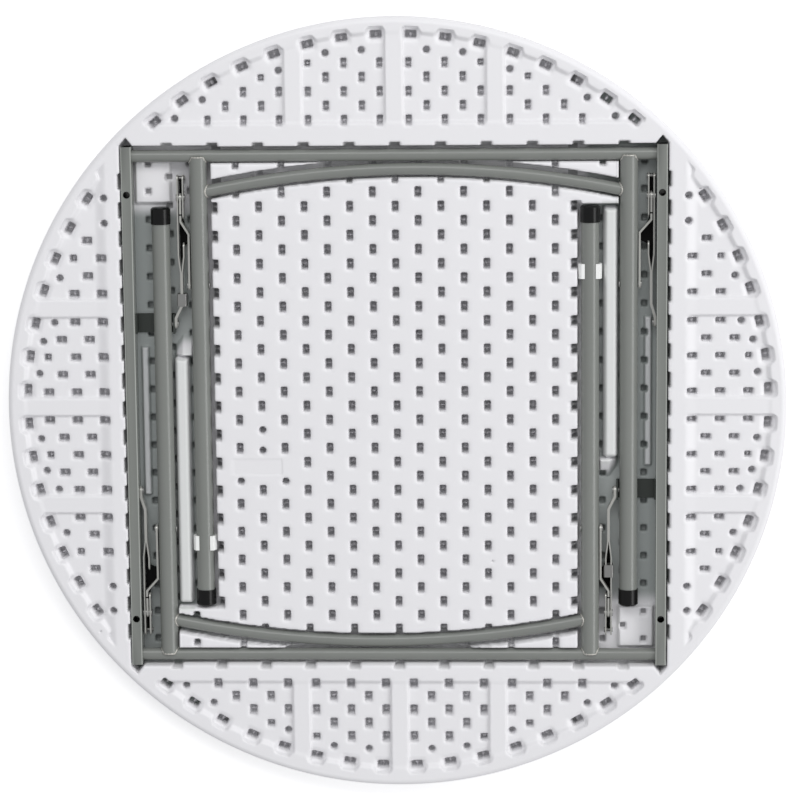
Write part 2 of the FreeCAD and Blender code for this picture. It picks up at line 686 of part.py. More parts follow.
def make_foot_cap(turned, side):
    """A closed cap pushed over a leg's end; its own Z points towards the pivot."""
    name, x = leg_at(turned, side)
    body = doc.addObject("PartDesign::Body", f"{name}_cap")
    section = sketch_on(body, "XZ_Plane")
    outside = "Size.leg_diameter / 2 + Size.cap_wall"
    inside = "Size.leg_diameter / 2 + Size.weld_gap"
    draw_polygon(section, [
        ("0", "0"), (f"{outside} - Size.cap_bevel", "0"), (outside, "Size.cap_bevel"),
        (outside, "Size.cap_length"), (inside, "Size.cap_length"), (inside, "Size.cap_base"),
        ("0", "Size.cap_base")])
    revolution(body, section)
    place(body, x=x, y=f"Size.pivot_reach - {LEG_REACH}", z="Size.pivot_height",
          rotation=TOWARDS_PIVOT, turned=turned)
    return keep(body, f"foot_cap_{set_name(turned)}_{side}")


# Folding braces: a lower link on the leg and a fork on the frame, joined by the fold rivet
def brace_lengths():
    """Link length, fork length and the folded fold rivet's place from the pivot, along and up.

    The brace is straight when the leg stands and lies just short of its dead line when it is folded.
    """
    drop = size("frame_pin_drop")
    straight = math.hypot(size("frame_pin_reach"), size("leg_pin_reach") + drop)
    folded = math.hypot(size("frame_pin_reach") - size("leg_pin_reach"), drop)
    link = (straight - folded + size("fold_slack")) / 2
    fork = (straight + folded - size("fold_slack")) / 2
    along = (fork ** 2 - link ** 2 + folded ** 2) / (2 * folded)
    below = math.sqrt(fork ** 2 - along ** 2)
    unit = ((size("leg_pin_reach") - size("frame_pin_reach")) / folded, drop / folded)
    reach = size("frame_pin_reach") + along * unit[0] - below * unit[1]
    rise = -drop + along * unit[1] + below * unit[0]
    return link, fork, reach, rise


link_length, fork_length, fold_reach, fold_rise = brace_lengths()
fork_slope = math.degrees(math.asin((-size("frame_pin_drop") - fold_rise) / fork_length))
link_slope = math.degrees(math.asin(-fold_rise / link_length))
link_plane = leg_radius + size("link_gap") + size("link_thickness") / 2


def frame_plane(side):
    """Distance from the leg's axis to the fork arm's centre at the frame rivet."""
    if side == "inner":
        tab = size("leg_spacing") - leg_radius - size("bracket_gap") - size("bracket_sheet")
        return tab - size("play") - size("arm_thickness") / 2
    return size("outer_brace_room") - size("play") - size("arm_thickness") / 2


def fold_plane(side):
    """Distance from the leg's axis to the link's centre at the fold rivet."""
    return frame_plane(side) - size("inner_joggle" if side == "inner" else "outer_joggle")


def bent_bar(path, thickness, hand, lobe=None):
    """A flat bar on edge, bent in plan along a path of (reach, offset), with round ends.

    The plan outline runs half a thickness each side of the path, with its corners on the
    bisectors, and the side outline is a long round-ended slot shape.
    """
    left, right = [], []
    count = len(path)
    for index, (reach, offset) in enumerate(path):
        before, after = path[max(index - 1, 0)], path[min(index + 1, count - 1)]
        angles = []
        if index > 0:
            angles.append(math.atan2(offset - before[1], reach - before[0]))
        if index < count - 1:
            angles.append(math.atan2(after[1] - offset, after[0] - reach))
        middle = sum(angles) / len(angles)
        half = thickness / 2 / math.cos((angles[-1] - angles[0]) / 2)
        across = (-math.sin(middle) * half, math.cos(middle) * half)
        left.append(FreeCAD.Vector(reach + across[0], offset + across[1], 0))
        right.append(FreeCAD.Vector(reach - across[0], offset - across[1], 0))
    outline = left + right[::-1]
    half_height = size("bar_height") / 2
    deep = half_height + (2 * size("stop_radius") + size("stop_lobe") if lobe else 0)
    strip = Part.Face(Part.makePolygon(outline + [outline[0]]))
    strip = strip.extrude(Z * (half_height + deep))
    strip.translate(Z * -deep)
    start, end = path[0][0], path[-1][0]
    widest = max(abs(offset) for _, offset in path) + thickness
    slot = block(start + half_height, end - half_height, 0, widest, -half_height, half_height)
    for reach in (start + half_height, end - half_height):
        slot = slot.fuse(Part.makeCylinder(half_height, widest, FreeCAD.Vector(reach, 0, 0), Y))
    if lobe:
        radius = size("stop_radius") + size("stop_lobe")
        ear = Part.makeCylinder(radius, widest, FreeCAD.Vector(lobe[0], 0, lobe[1]), Y)
        web = block(lobe[0] - radius, lobe[0] + radius, 0, widest, lobe[1], 0)
        slot = slot.fuse([ear, web])
    bar = strip.common(slot.removeSplitter())
    return bar if hand > 0 else bar.mirror(ORIGIN, Y)


def drilled(bar, reach, height, radius):
    """A bar with one rivet hole."""
    wide = 2 * leg_outer
    return bar.cut(Part.makeCylinder(radius, wide, FreeCAD.Vector(reach, -leg_outer, height), Y))


def rivet(reach, height, hand, steps):
    """A turned rivet along the offset axis: steps of (from, to, radius)."""
    parts = [Part.makeCylinder(radius, high - low, FreeCAD.Vector(reach, low, height), Y)
             for low, high, radius in steps]
    shape = parts[0].fuse(parts[1:]).removeSplitter() if len(parts) > 1 else parts[0]
    return shape if hand > 0 else shape.mirror(ORIGIN, Y)


def brace_frame(turned, side, slope):
    """Placement of a brace piece: own X towards the feet and own Y out from the leg."""
    x = -leg_inner if side == "inner" else leg_outer
    spot = FreeCAD.Vector(x, size("pivot_reach") - fold_reach, size("pivot_height") + fold_rise)
    frame = FreeCAD.Placement(spot, FreeCAD.Rotation(Z, -90))
    frame = frame.multiply(FreeCAD.Placement(ORIGIN, FreeCAD.Rotation(Y, -slope)))
    return HALF_TURN.multiply(frame) if turned else frame


def set_down(label, shape, placement):
    """A finished sub-part worked out in its own frame."""
    obj = feature(f"{label}_piece", shape)
    obj.Placement = placement
    return keep(obj, label)


def make_brace(turned, side):
    """One brace: fork arm, leaf, lock plate, their rivets, and the link with its rivet."""
    hand = -1 if side == "inner" else 1
    tag = f"{set_name(turned)}_{side}"
    fold, frame_side = fold_plane(side), frame_plane(side)
    sheet_thick, spread = size("arm_thickness"), size("arm_spread")
    round_end = size("bar_height") / 2
    pin = size("pin_radius")
    hole = pin + size("pivot_clearance")
    step_end = fork_length - size("joggle_start")
    step_start = step_end - size("joggle_length")
    stop_drop = -(size("bar_height") / 2 + size("stop_radius"))
    stop = (-size("stop_reach"), stop_drop)
    tail = -size("fork_tail")
    fork_at = brace_frame(turned, side, fork_slope)
    link_at = brace_frame(turned, side, link_slope)

    arm = bent_bar([
        (tail, fold + spread), (size("spread_start"), fold + spread),
        (size("spread_end"), fold + sheet_thick / 2), (step_start, fold + sheet_thick / 2),
        (step_end, frame_side), (fork_length + round_end, frame_side)], sheet_thick, 1, lobe=stop)
    step_turn = math.atan2(frame_side - fold - sheet_thick / 2, size("joggle_length"))
    later = sheet_thick * math.tan(step_turn / 2)
    leaf = bent_bar([
        (size("leaf_reach"), fold - spread), (size("spread_start"), fold - spread),
        (size("spread_end"), fold - sheet_thick / 2), (step_start + later, fold - sheet_thick / 2),
        (step_end + later, frame_side - sheet_thick),
        (fork_length + round_end, frame_side - sheet_thick)], sheet_thick, 1)
    plate = bent_bar([(tail, fold - spread), (size("lock_reach"), fold - spread)],
                     sheet_thick, 1, lobe=stop)
    arm = drilled(drilled(arm, 0, 0, pin), *stop, size("stop_radius"))
    arm = drilled(arm, fork_length, 0, hole)
    plate = drilled(drilled(plate, 0, 0, pin), *stop, size("stop_radius"))
    leaf = drilled(leaf, fork_length, 0, hole)
    for name, shape in (("fork_arm", arm), ("fork_leaf", leaf), ("lock_plate", plate)):
        set_down(f"{name}_{tag}", shape if hand > 0 else shape.mirror(ORIGIN, Y), fork_at)

    head, tall = size("pin_head_radius"), size("pin_head_height")
    outer_face = fold + spread + sheet_thick / 2
    lower_face = fold - spread - sheet_thick / 2
    collar = size("link_thickness") / 2 + size("play")
    inner_gap = spread - sheet_thick / 2
    fold_rivet = rivet(0, 0, hand, [
        (lower_face, outer_face, pin), (outer_face, outer_face + tall, head),
        (lower_face - tall, lower_face, head), (fold + collar, fold + inner_gap, head),
        (fold - inner_gap, fold - collar, head)])
    stop_head = size("stop_radius") + size("stop_lobe") / 2
    stop_rivet = rivet(*stop, hand, [
        (lower_face, outer_face, size("stop_radius")), (outer_face, outer_face + tall, stop_head),
        (lower_face - tall, lower_face, stop_head)])
    set_down(f"fork_rivets_{tag}", Part.makeCompound([fold_rivet, stop_rivet]), fork_at)

    bend = size("link_joggle_start")
    link = bent_bar([
        (-round_end, fold), (bend, fold), (bend + size("link_joggle_length"), link_plane),
        (link_length + round_end, link_plane)], size("link_thickness"), 1)
    link = drilled(drilled(link, 0, 0, hole), link_length, 0, pin)
    set_down(f"brace_link_{tag}", link if hand > 0 else link.mirror(ORIGIN, Y), link_at)
    link_outside = link_plane + size("link_thickness") / 2
    end_rivet = rivet(link_length, 0, hand, [
        (leg_radius + size("play"), link_outside, pin), (link_outside, link_outside + tall, head)])
    set_down(f"link_rivet_{tag}", end_rivet, link_at)


def make_leg_rivets(turned):
    """The brace rivets through both legs of a set, heads on the far side from the braces."""
    shapes = []
    height, tall = size("pivot_height"), size("pin_head_height")
    y = size("pivot_reach") - size("leg_pin_reach")
    for x, hand in ((-leg_inner, -1), (leg_outer, 1)):
        flush = math.sqrt(leg_radius ** 2 - size("pin_radius") ** 2)
        head = Part.makeCylinder(size("pin_head_radius"), tall,
                                 FreeCAD.Vector(x - hand * leg_radius, y, height), X * -hand)
        shank = Part.makeCylinder(size("pin_radius"), leg_radius + flush,
                                  FreeCAD.Vector(x - hand * leg_radius, y, height), X * hand)
        shapes.append(head.fuse(shank).removeSplitter())
    obj = feature(f"leg_rivets_{set_name(turned)}_piece", Part.makeCompound(shapes))
    if turned:
        obj.Placement = HALF_TURN
    return keep(obj, f"leg_rivets_{set_name(turned)}")


def make_frame_rivets():
    """The four rivets that hold the forks to the brackets and the rails."""
    shapes = []
    tall, head = size("pin_head_height"), size("pin_head_radius")
    y = size("pivot_reach") - size("frame_pin_reach")
    height = size("pivot_height") - size("frame_pin_drop")
    for side, hand, axis_x in (("inner", -1, -leg_inner), ("outer", 1, leg_outer)):
        arm_outside = frame_plane(side) + size("arm_thickness") / 2
        leaf_inside = arm_outside - 2 * size("arm_thickness")
        wall = size("bracket_sheet") if side == "inner" else size("rail_wall")
        wall_low = arm_outside + size("play")
        low = leaf_inside - size("play")
        steps = [(low, wall_low + wall, size("pin_radius")), (low - tall, low, head),
                 (wall_low + wall, wall_low + wall + tall, size("pin_radius") + size("play"))]
        shape = rivet(0, 0, hand, steps)
        shape.rotate(ORIGIN, Z, -90)
        shape.translate(FreeCAD.Vector(axis_x, y, height))
        shapes += turned_pair(shape)
    return keep(feature("frame_rivet_group", Part.makeCompound(shapes)), "frame_rivets")


def make_bracket(label, turned):
    """Bent strap from the rail's inner wall under a leg to the upright tab of an inner brace.

    Its own X points away from the rail, its own Z up, and its sketch is the bent side view.
    """
    body = doc.addObject("PartDesign::Body", f"{label}_body")
    section = sketch_on(body, "XZ_Plane")
    thick = "Size.bracket_sheet"
    reach = "(Size.outer_brace_room + Size.leg_diameter / 2 + Size.bracket_gap + Size.bracket_sheet)"
    tab_top = "(Size.pivot_height - Size.frame_pin_drop + Size.bar_height / 2 - Size.floor_height)"
    draw_polygon(section, [
        ("0", "0"), (reach, "0"), (reach, tab_top), (f"{reach} - {thick}", tab_top),
        (f"{reach} - {thick}", thick), (thick, thick), (thick, "Size.bracket_flange"),
        ("0", "Size.bracket_flange")])
    strap = pad(body, section, "Size.bracket_width", midplane=True)
    depth = size("bracket_width") / 2
    length = size("outer_brace_room") + leg_radius + size("bracket_gap") + size("bracket_sheet")

    def bend(edge):
        """The two outside corners along the floor."""
        middle = edge.BoundBox.Center
        on_floor = abs(middle.z) < 1e-6 and abs(edge.BoundBox.YLength - 2 * depth) < 1e-6
        return on_floor and (abs(middle.x) < 1e-6 or abs(middle.x - length) < 1e-6)

    fillet(body, strap, "Size.bracket_bend", bend)
    holes = sketch_on(body, "YZ_Plane", "Size.outer_brace_room")
    draw_circle(holes, "0", "Size.pivot_height - Size.frame_pin_drop - Size.floor_height",
                "Size.pin_radius")
    pocket(body, holes, reverse=True)
    place(body, x="-(Size.rail_centre - Size.rail_width / 2)",
          y="Size.pivot_reach - Size.frame_pin_reach", z="Size.floor_height", turned=turned)
    return keep(body, label)


def make_lock_ring(label, turned, reach):
    """Sheet sleeve that slides on the fork of an inner brace, resting on its upper edge."""
    body = doc.addObject("PartDesign::Body", f"{label}_body")
    section = sketch_on(body, "XY_Plane")
    half_width, half_height = "Size.ring_width / 2", "Size.ring_height / 2"
    draw_box(section, f"-({half_width} + Size.ring_wall)", f"{half_width} + Size.ring_wall",
             f"-({half_height} + Size.ring_wall)", f"{half_height} + Size.ring_wall")
    outside = pad(body, section, "Size.ring_length", midplane=True)
    fillet(body, outside, "Size.ring_corner", is_upright)
    opening = sketch_on(body, "XY_Plane")
    draw_box(opening, f"-{half_width}", half_width, f"-{half_height}", half_height)
    pocket(body, opening, both=True)
    hang = size("ring_height") / 2 - size("bar_height") / 2 - size("play")
    spot = FreeCAD.Vector(reach, -fold_plane("inner"), -hang)
    upright = FreeCAD.Rotation(FreeCAD.Vector(0, 1, 0), FreeCAD.Vector(0, 0, 1), FreeCAD.Vector(1, 0, 0))
    body.Placement = brace_frame(turned, "inner", fork_slope).multiply(FreeCAD.Placement(spot, upright))
    return keep(body, label)


def make_leg_clip(label, turned):
    """Snap clip that holds the inner leg of a set; a jaw on a foot, extruded along the leg."""
    body = doc.addObject("PartDesign::Body", f"{label}_body")
    axis = "(Size.pivot_height - Size.floor_height)"
    bore = "(Size.leg_diameter / 2 + Size.play)"
    foot = sketch_on(body, "XZ_Plane")
    draw_box(foot, "-Size.clip_base_width / 2", "Size.clip_base_width / 2", "0", axis)
    pad(body, foot, "Size.clip_length", midplane=True)
    jaw = sketch_on(body, "XZ_Plane")
    draw_circle(jaw, "0", axis, f"{bore} + Size.clip_wall")
    pad(body, jaw, "Size.clip_length", midplane=True)
    hollow = sketch_on(body, "XZ_Plane")
    draw_circle(hollow, "0", axis, bore)
    pocket(body, hollow, both=True)
    mouth = sketch_on(body, "XZ_Plane")
    draw_box(mouth, "-Size.clip_mouth / 2", "Size.clip_mouth / 2", axis, f"{axis} + Size.leg_diameter")
    pocket(body, mouth, both=True)
    lips = sketch_on(body, "XZ_Plane")
    draw_box(lips, "-Size.leg_diameter", "Size.leg_diameter", f"{axis} + Size.clip_lip",
             f"{axis} + Size.leg_diameter")
    pocket(body, lips, both=True)
    place(body, x=f"-{LEG_INNER}", y="-Size.pivot_reach + Size.clip_reach",
          z="Size.floor_height", turned=turned)
    return keep(body, label)


# Assembly: what stays with the top, then both leg sets with their braces
make_tabletop()
make_rail("rail_right", False)
make_rail("rail_left", True)
make_screws()
make_frame_rivets()
for turned_set in (False, True):
    letter = set_name(turned_set)
    make_bracket(f"brace_bracket_{letter}", turned_set)
    make_leg_clip(f"leg_clip_{letter}", turned_set)
    make_cross_tube(turned_set)
    make_stretcher(turned_set)
    make_leg_rivets(turned_set)
    for leg_side in ("inner", "outer"):
        make_leg(turned_set, leg_side)
        make_foot_cap(turned_set, leg_side)
        make_brace(turned_set, leg_side)
make_lock_ring("lock_ring_a", False, size("ring_a_reach"))
make_lock_ring("lock_ring_b", True, size("ring_b_reach"))
doc.recompute()

# Checks and export
for item in doc.Objects:
    if "Invalid" in item.State or "Error" in item.State:
        raise RuntimeError(f"{item.Label} failed: {item.State}")
for item in nodes:
    if item.Shape.isNull() or not item.Shape.isValid():
        raise RuntimeError(f"{item.Label} has no valid shape")
os.makedirs("parts", exist_ok=True)
for item in nodes:
    item.Shape.exportStep(f"parts/{item.Label}.step")
    print(f"{item.Label}: {len(item.Shape.Solids)} solid(s), {item.Shape.Volume / 1000:.1f} cm3")
print(f"link {link_length:.3f}, fork {fork_length:.3f}, fold rivet at {fold_reach:.3f}, {fold_rise:.3f}")
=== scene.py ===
# %% [markdown]
# # A round folding table, seen from underneath
#
# The object is the underside of a blow-moulded folding table, lying on its working face with both leg
# sets folded into bays. Its frame, tubes, braces and snap clips come from the CAD model and need little
# more than finishes. The white moulding is different: its look is hundreds of small soft-edged dimples,
# and soft edges are what a CAD solid of boxes does not have. So this lesson keeps the metal, and
# rebuilds the moulding as one mathematical height map.

# %% Load the CAD model as the frame
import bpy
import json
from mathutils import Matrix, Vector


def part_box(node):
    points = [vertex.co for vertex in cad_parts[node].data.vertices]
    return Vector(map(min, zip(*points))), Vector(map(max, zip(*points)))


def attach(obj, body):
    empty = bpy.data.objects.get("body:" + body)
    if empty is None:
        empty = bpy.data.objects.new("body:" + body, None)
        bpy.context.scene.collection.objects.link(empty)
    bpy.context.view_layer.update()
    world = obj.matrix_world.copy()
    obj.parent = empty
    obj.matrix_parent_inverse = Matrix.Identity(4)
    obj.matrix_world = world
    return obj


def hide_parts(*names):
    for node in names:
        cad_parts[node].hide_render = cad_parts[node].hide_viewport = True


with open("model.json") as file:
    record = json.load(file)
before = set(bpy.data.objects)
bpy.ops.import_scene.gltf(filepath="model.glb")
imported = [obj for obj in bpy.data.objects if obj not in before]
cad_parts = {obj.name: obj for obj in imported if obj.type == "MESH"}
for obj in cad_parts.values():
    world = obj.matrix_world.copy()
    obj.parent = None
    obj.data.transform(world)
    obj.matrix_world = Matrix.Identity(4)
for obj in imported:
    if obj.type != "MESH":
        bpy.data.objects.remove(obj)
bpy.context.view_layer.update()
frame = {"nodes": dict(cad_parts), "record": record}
print("CAD nodes:", len(frame["nodes"]))

# %% [markdown]
# ## Working in millimetres
#
# Blender's unit is the metre, but a moulder thinks in millimetres, and numbers such as 35.5 are easier
# to read than 0.0355. All shapes below are worked out in millimetres and scaled once, when the mesh is
# made. Sizes of the frame are read from the CAD nodes, so that bays and grooves follow what lies in them.

# %% Read the driving sizes from the CAD nodes
import bpy
import math
import numpy as np

MM = 0.001


def node_box(name):
    """Lowest and highest corner of a CAD node, in millimetres."""
    low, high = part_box(name)
    return np.array(low) / MM, np.array(high) / MM


_, top_high = node_box("tabletop")
_, foot_high = node_box("foot_cap_b_inner")
rail_low, rail_high = node_box("rail_right")
cross_low, cross_high = node_box("cross_tube_a")
inner_low, inner_high = node_box("leg_tube_b_inner")
outer_low, outer_high = node_box("leg_tube_a_outer")

TABLE_RADIUS = top_high[0]
RIM_HEIGHT = top_high[2]
FLOOR_HEIGHT = rail_low[2]
PIVOT_Y = (cross_low[1] + cross_high[1]) / 2
PIVOT_Z = (cross_low[2] + cross_high[2]) / 2
RAIL_INNER, RAIL_OUTER = rail_low[0], rail_high[0]
INNER_LEG = (inner_low[0] + inner_high[0]) / 2
OUTER_LEG = (outer_low[0] + outer_high[0]) / 2
LEG_RADIUS = (outer_high[0] - outer_low[0]) / 2
print(f"radius {TABLE_RADIUS:.1f}, rim {RIM_HEIGHT:.1f}, pivots at y {PIVOT_Y:.1f}, z {PIVOT_Z:.1f}")

# %% [markdown]
# ## Distances first, heights second
#
# A height map gives one z for each (x, y). Written directly it becomes a tangle of conditions. It is
# far simpler to ask "how deep inside this outline is the point?", because that one number gives sharp
# walls, drafted walls or soft shoulders alike. `inside_box` answers it for a rounded rectangle, `ease`
# turns the answer into a wall, and `shoulder` gives the slow slope that leads to the wall's edge. That
# slope is what makes moulded plastic look soft: it catches light on one side and shade on the other.

# %% Helpers for the height map


def inside_box(x, y, half_x, half_y, corner):
    """How far a point lies inside a rounded rectangle about the origin; negative outside.

    The rectangle shrunk by its corner radius has a plain distance, and the radius is added back.
    """
    over_x = np.abs(x) - (half_x - corner)
    over_y = np.abs(y) - (half_y - corner)
    outside = np.hypot(np.maximum(over_x, 0), np.maximum(over_y, 0))
    return corner - outside - np.minimum(np.maximum(over_x, over_y), 0)


def placed_box(x, y, middle_x, middle_y, half_x, half_y, corner):
    """The same for a rounded rectangle with a middle of its own: its offsets from there."""
    return inside_box(x - middle_x, y - middle_y, half_x, half_y, corner)


def ease(depth, width):
    """0 at an outline, 1 once a point is a wall's width inside it, level at both ends: 3t^2 - 2t^3."""
    t = np.clip(depth / width, 0, 1)
    return t * t * (3 - 2 * t)


def shoulder(depth, reach):
    """0 at a reach outside an outline, rising as a square to 1 on it, and 1 inside."""
    return np.clip(1 + depth / reach, 0, 1) ** 2


def repeat(value, pitch):
    """Offset from the nearest multiple of a pitch: the value less its rounded number of pitches."""
    return value - pitch * np.round(value / pitch)


print("half way up a wall:", float(ease(np.array(1.0), 2.0)))

# %% [markdown]
# ## Bays and grooves for the frame
#
# The legs fold into two long bays, and the rails, the cross tubes and the arched stretchers have grooves
# of their own. Each could be cut out by itself, but all of them reach the same floor, so here they are
# one outline: at each point, the largest of their distances. A rail's groove ends in a point, a
# stretcher's follows its arch, and the bay's outer wall has a notch where it cuts a row of dimples.

# %% Sizes of the bays and grooves, in millimetres
ROW_PITCH = 44.8
BAY_INNER, BAY_OUTER, BAY_CORNER = INNER_LEG - 20.2, RAIL_OUTER + 1.8, 3.0
BAY_END, FOOT_END = PIVOT_Y + LEG_RADIUS + 2.9, foot_high[1] + 4.0
CORNER_EDGE = OUTER_LEG - LEG_RADIUS - 3.0
GROOVE_START, GROOVE_END = PIVOT_Y - 12.5, PIVOT_Y + 15.0
GROOVE_REACH, GROOVE_CORNER = CORNER_EDGE + 4, 1.0
SLOT_MIDDLE, SLOT_HALF = (RAIL_INNER + RAIL_OUTER) / 2, (RAIL_OUTER - RAIL_INNER) / 2 + 2.0
SLOT_END, SLOT_CORNER, SLOT_POINT = rail_high[1] + 2.5, 1.5, 12.0
RAIL_NOTCH, NOTCH_END = (4.4, 13.0, 3.0), PIVOT_Y - 15
FULL_DEPTH, NOT_HERE = 3.0, -9.0

ARCH_LOW, ARCH_TOP = PIVOT_Y - 58.0, PIVOT_Y - 22.0
ARCH_INWARD, ARCH_OUTWARD = 14.0, 17.5
arch_half = (INNER_LEG + OUTER_LEG) / 2
ARCH_RADIUS = (arch_half ** 2 + (ARCH_TOP - ARCH_LOW) ** 2) / (2 * (ARCH_TOP - ARCH_LOW))
ARCH_X, ARCH_Y = (OUTER_LEG - INNER_LEG) / 2, ARCH_TOP - ARCH_RADIUS
print(f"stretcher arch radius {ARCH_RADIUS:.0f}, bays from {BAY_INNER:.0f} to {BAY_OUTER:.1f}")

# %% Outline of the bays and grooves


def frame_depth(x, y):
    """How far a point lies inside the bays, grooves and notches that hold the frame.

    The leg sets are one set turned half round, so for the bay a point on the left is first turned to
    the right, and for the arch one below to above. The outline is the largest of its parts' distances.
    """
    far_x, far_y = np.abs(x), np.abs(y)
    along = np.where(x > 0, y, -y)
    bay_half, outer_half = (BAY_OUTER - BAY_INNER) / 2, (BAY_OUTER - CORNER_EDGE) / 2
    foot_half, groove_half = (BAY_END + FOOT_END) / 2, (GROOVE_END - GROOVE_START) / 2
    bay_x, bay_y = far_x - BAY_INNER - bay_half, along + BAY_END - foot_half
    bay = inside_box(bay_x, bay_y, bay_half, foot_half, BAY_CORNER)
    outer_bay = inside_box(far_x - CORNER_EDGE - outer_half, y, outer_half, BAY_END, BAY_CORNER)
    slot = inside_box(far_x - SLOT_MIDDLE, y, SLOT_HALF, SLOT_END, SLOT_CORNER)
    tip = 1 - np.abs(far_x - SLOT_MIDDLE) / SLOT_HALF
    point = np.where(tip > 0, np.minimum(SLOT_END + SLOT_POINT * tip - far_y, FULL_DEPTH), NOT_HERE)
    groove = inside_box(x, far_y - GROOVE_START - groove_half, GROOVE_REACH, groove_half, GROOVE_CORNER)
    turned_x = np.where(y > 0, x, -x)
    off_arch = np.hypot(turned_x - ARCH_X, far_y - ARCH_Y) - ARCH_RADIUS
    arch = np.minimum.reduce([off_arch + ARCH_INWARD, ARCH_OUTWARD - off_arch,
                              turned_x + INNER_LEG, OUTER_LEG - turned_x])
    notch = inside_box(far_x - BAY_OUTER, repeat(y, ROW_PITCH), *RAIL_NOTCH)
    notch = np.where(far_y < NOTCH_END, notch, NOT_HERE)
    return np.maximum.reduce([bay, outer_bay, slot, point, groove, arch, notch])


leg_depth, tube_depth = frame_depth(np.array([-INNER_LEG, 0.0]), np.array([0.0, PIVOT_Y]))
print(f"inside the outline: {leg_depth:.1f} mm at a leg, {tube_depth:.1f} mm at a cross tube")

# %% [markdown]
# ## Segments, ribs and the wavy rim
#
# Beyond the frame four segments lie a little below the beams, and their ribs stand out because the
# cells between them are sunk further. Round them the rim's wall is wavy, with a steep pocket behind each
# rim dimple. Booleans would leave hard edges, and the real walls are long and soft. So the drop is a
# product: the cell's own drop, times the share of the beam's wall, times the share of the rim's wall.

# %% Drop of the segments
BEAM_EDGE, BEAM_WALL = PIVOT_Y + 43.5, 7.5
SIDE_EDGE, SIDE_WALL = RAIL_OUTER + 25.0, 21.0
RIB_HALF, RIB_PITCH, RIB_WALL = 12.3, 156.0, 3.2
RIB_DROP, CELL_DROP = 1.2, 6.4


def segment_drop(along, out, rim, start, width):
    """How far a point of a segment lies below the rim, from its offsets along and out of the beam.

    The whole segment is a little sunk, ribs included, and the cells between the ribs are sunk further:
    (rib drop + further drop x share of a cell) x share of the beam's wall x share of the rim's wall.
    """
    rib = np.minimum(np.abs(along), np.abs(np.abs(along) - RIB_PITCH)) - RIB_HALF
    cell = RIB_DROP + (CELL_DROP - RIB_DROP) * ease(rib, RIB_WALL)
    return cell * ease(out - start, width) * rim


print(f"beams end at y {BEAM_EDGE:.1f} and x {SIDE_EDGE:.1f}, ribs {2 * RIB_HALF:.1f} mm wide")

# %% Wavy wall of the rim
RIM_COUNT, RIM_RING, RIM_SHIFT = 68, 580.6, (-0.8, -1.0)
RIM_WALL, RIM_WAVE, WAVE_EDGE = 590.6, 3.9, 3.0
POCKET_SLOPE, FOOT_SLOPE = 3.6, 8.5
POCKET_DROP, POCKET_REACH, POCKET_FADE = 2.8, 14.0, 10.0


def rim_fall(across, row):
    """Share of the way down the rim's wall, which steps out in a steep pocket round each rim dimple.

    The steps are a cosine of the angle, sharpened by a hyperbolic tangent to nearly a square wave.
    Between the pockets the wall is a long, faint slope; a pocket is a little deeper at its foot.
    """
    radius = np.hypot(across, row)
    wave = np.tanh(WAVE_EDGE * np.cos(np.arctan2(row, across) * RIM_COUNT))
    pocket = (1 - wave) / 2
    inside = RIM_WALL - RIM_WAVE * wave - radius
    fade = np.clip((radius - RIM_RING + POCKET_REACH) / POCKET_FADE, 0, 1)
    foot = fade * pocket * POCKET_DROP / CELL_DROP
    return ease(inside, FOOT_SLOPE + (POCKET_SLOPE - FOOT_SLOPE) * pocket) * (1 + foot)


print(f"{RIM_COUNT} pockets, wall {RIM_WALL - RIM_WAVE:.1f} to {RIM_WALL + RIM_WAVE:.1f} mm out")

# %% [markdown]
# ## What stands up in the bays
#
# A tall ridge with a rounded crest runs along each bay beside the legs, and ends in a ramp. A narrow strip
# stands beside the rail, and a low step beyond the foot. As pieces of their own they would show a seam
# on the floor. The greatest of four heights has none, and where they meet, they run into each other.

# %% Ridge, ramp, strip and step
# Each place is (distance from the centre line, y, half x, half y, corner), as on the left side
RIDGE, CREST_ROUND, RIDGE_RISE = (335.8, -117.0, 12.2, 198.0, 6.0), 7.5, 27.0
RAMP, RAMP_WALL = (332.0, 98.0, 17.0, 19.0, 4.0), 6.0
RAMP_END, RAMP_LENGTH, RAMP_BEND, RAMP_SPREAD = 115.0, 35.0, 334.0, 24.0
STRIP, STRIP_WALL, STRIP_RISE = (RAIL_INNER - 12.5, -23.0, 7.2, 120.0, 3.0), 4.0, 8.0
STEP, STEP_WALL, STEP_RISE = (376.6, 355.0, 30.0, 35.5, 4.0), 5.0, 8.0


def raised_floor(x, y):
    """Height above the floor of what stands up in each bay, the greatest of four forms at each point.

    The crest is a quarter circle of the distance inside the ridge. The ramp falls in a straight line
    along the bay, and faster towards the rail. The right side is the left one turned half round.
    """
    along, far_x = np.where(x < 0, y, -y), np.abs(x)
    inside = np.clip(placed_box(far_x, along, *RIDGE) / CREST_ROUND, 0, 1)
    crest = np.sqrt(1 - (1 - inside) ** 2)
    slope = (RAMP_END - along) / RAMP_LENGTH - np.maximum(far_x - RAMP_BEND, 0) / RAMP_SPREAD
    ramp = ease(placed_box(far_x, along, *RAMP), RAMP_WALL) * np.clip(slope, 0, 1)
    strip = ease(placed_box(far_x, along, *STRIP), STRIP_WALL)
    step = ease(placed_box(far_x, along, *STEP), STEP_WALL)
    return np.maximum.reduce([RIDGE_RISE * crest, RIDGE_RISE * ramp, STRIP_RISE * strip, STEP_RISE * step])


print("ridge above the floor:", raised_floor(np.array([-RIDGE[0]]), np.array([RIDGE[1]])))

# %% [markdown]
# ## The moulding without its dimples
#
# The centre panel lies a little below the beams. Shallow notches bite into its long edges and into the
# beams, where a bay or a groove cuts a dimple short. With them every form is there, and they meet in one
# height: the rim's level less the drops, then a drafted wall down to the floor, with a soft shoulder
# above it. A mould needs that draft to let the part go, and the light needs it to show the edge.

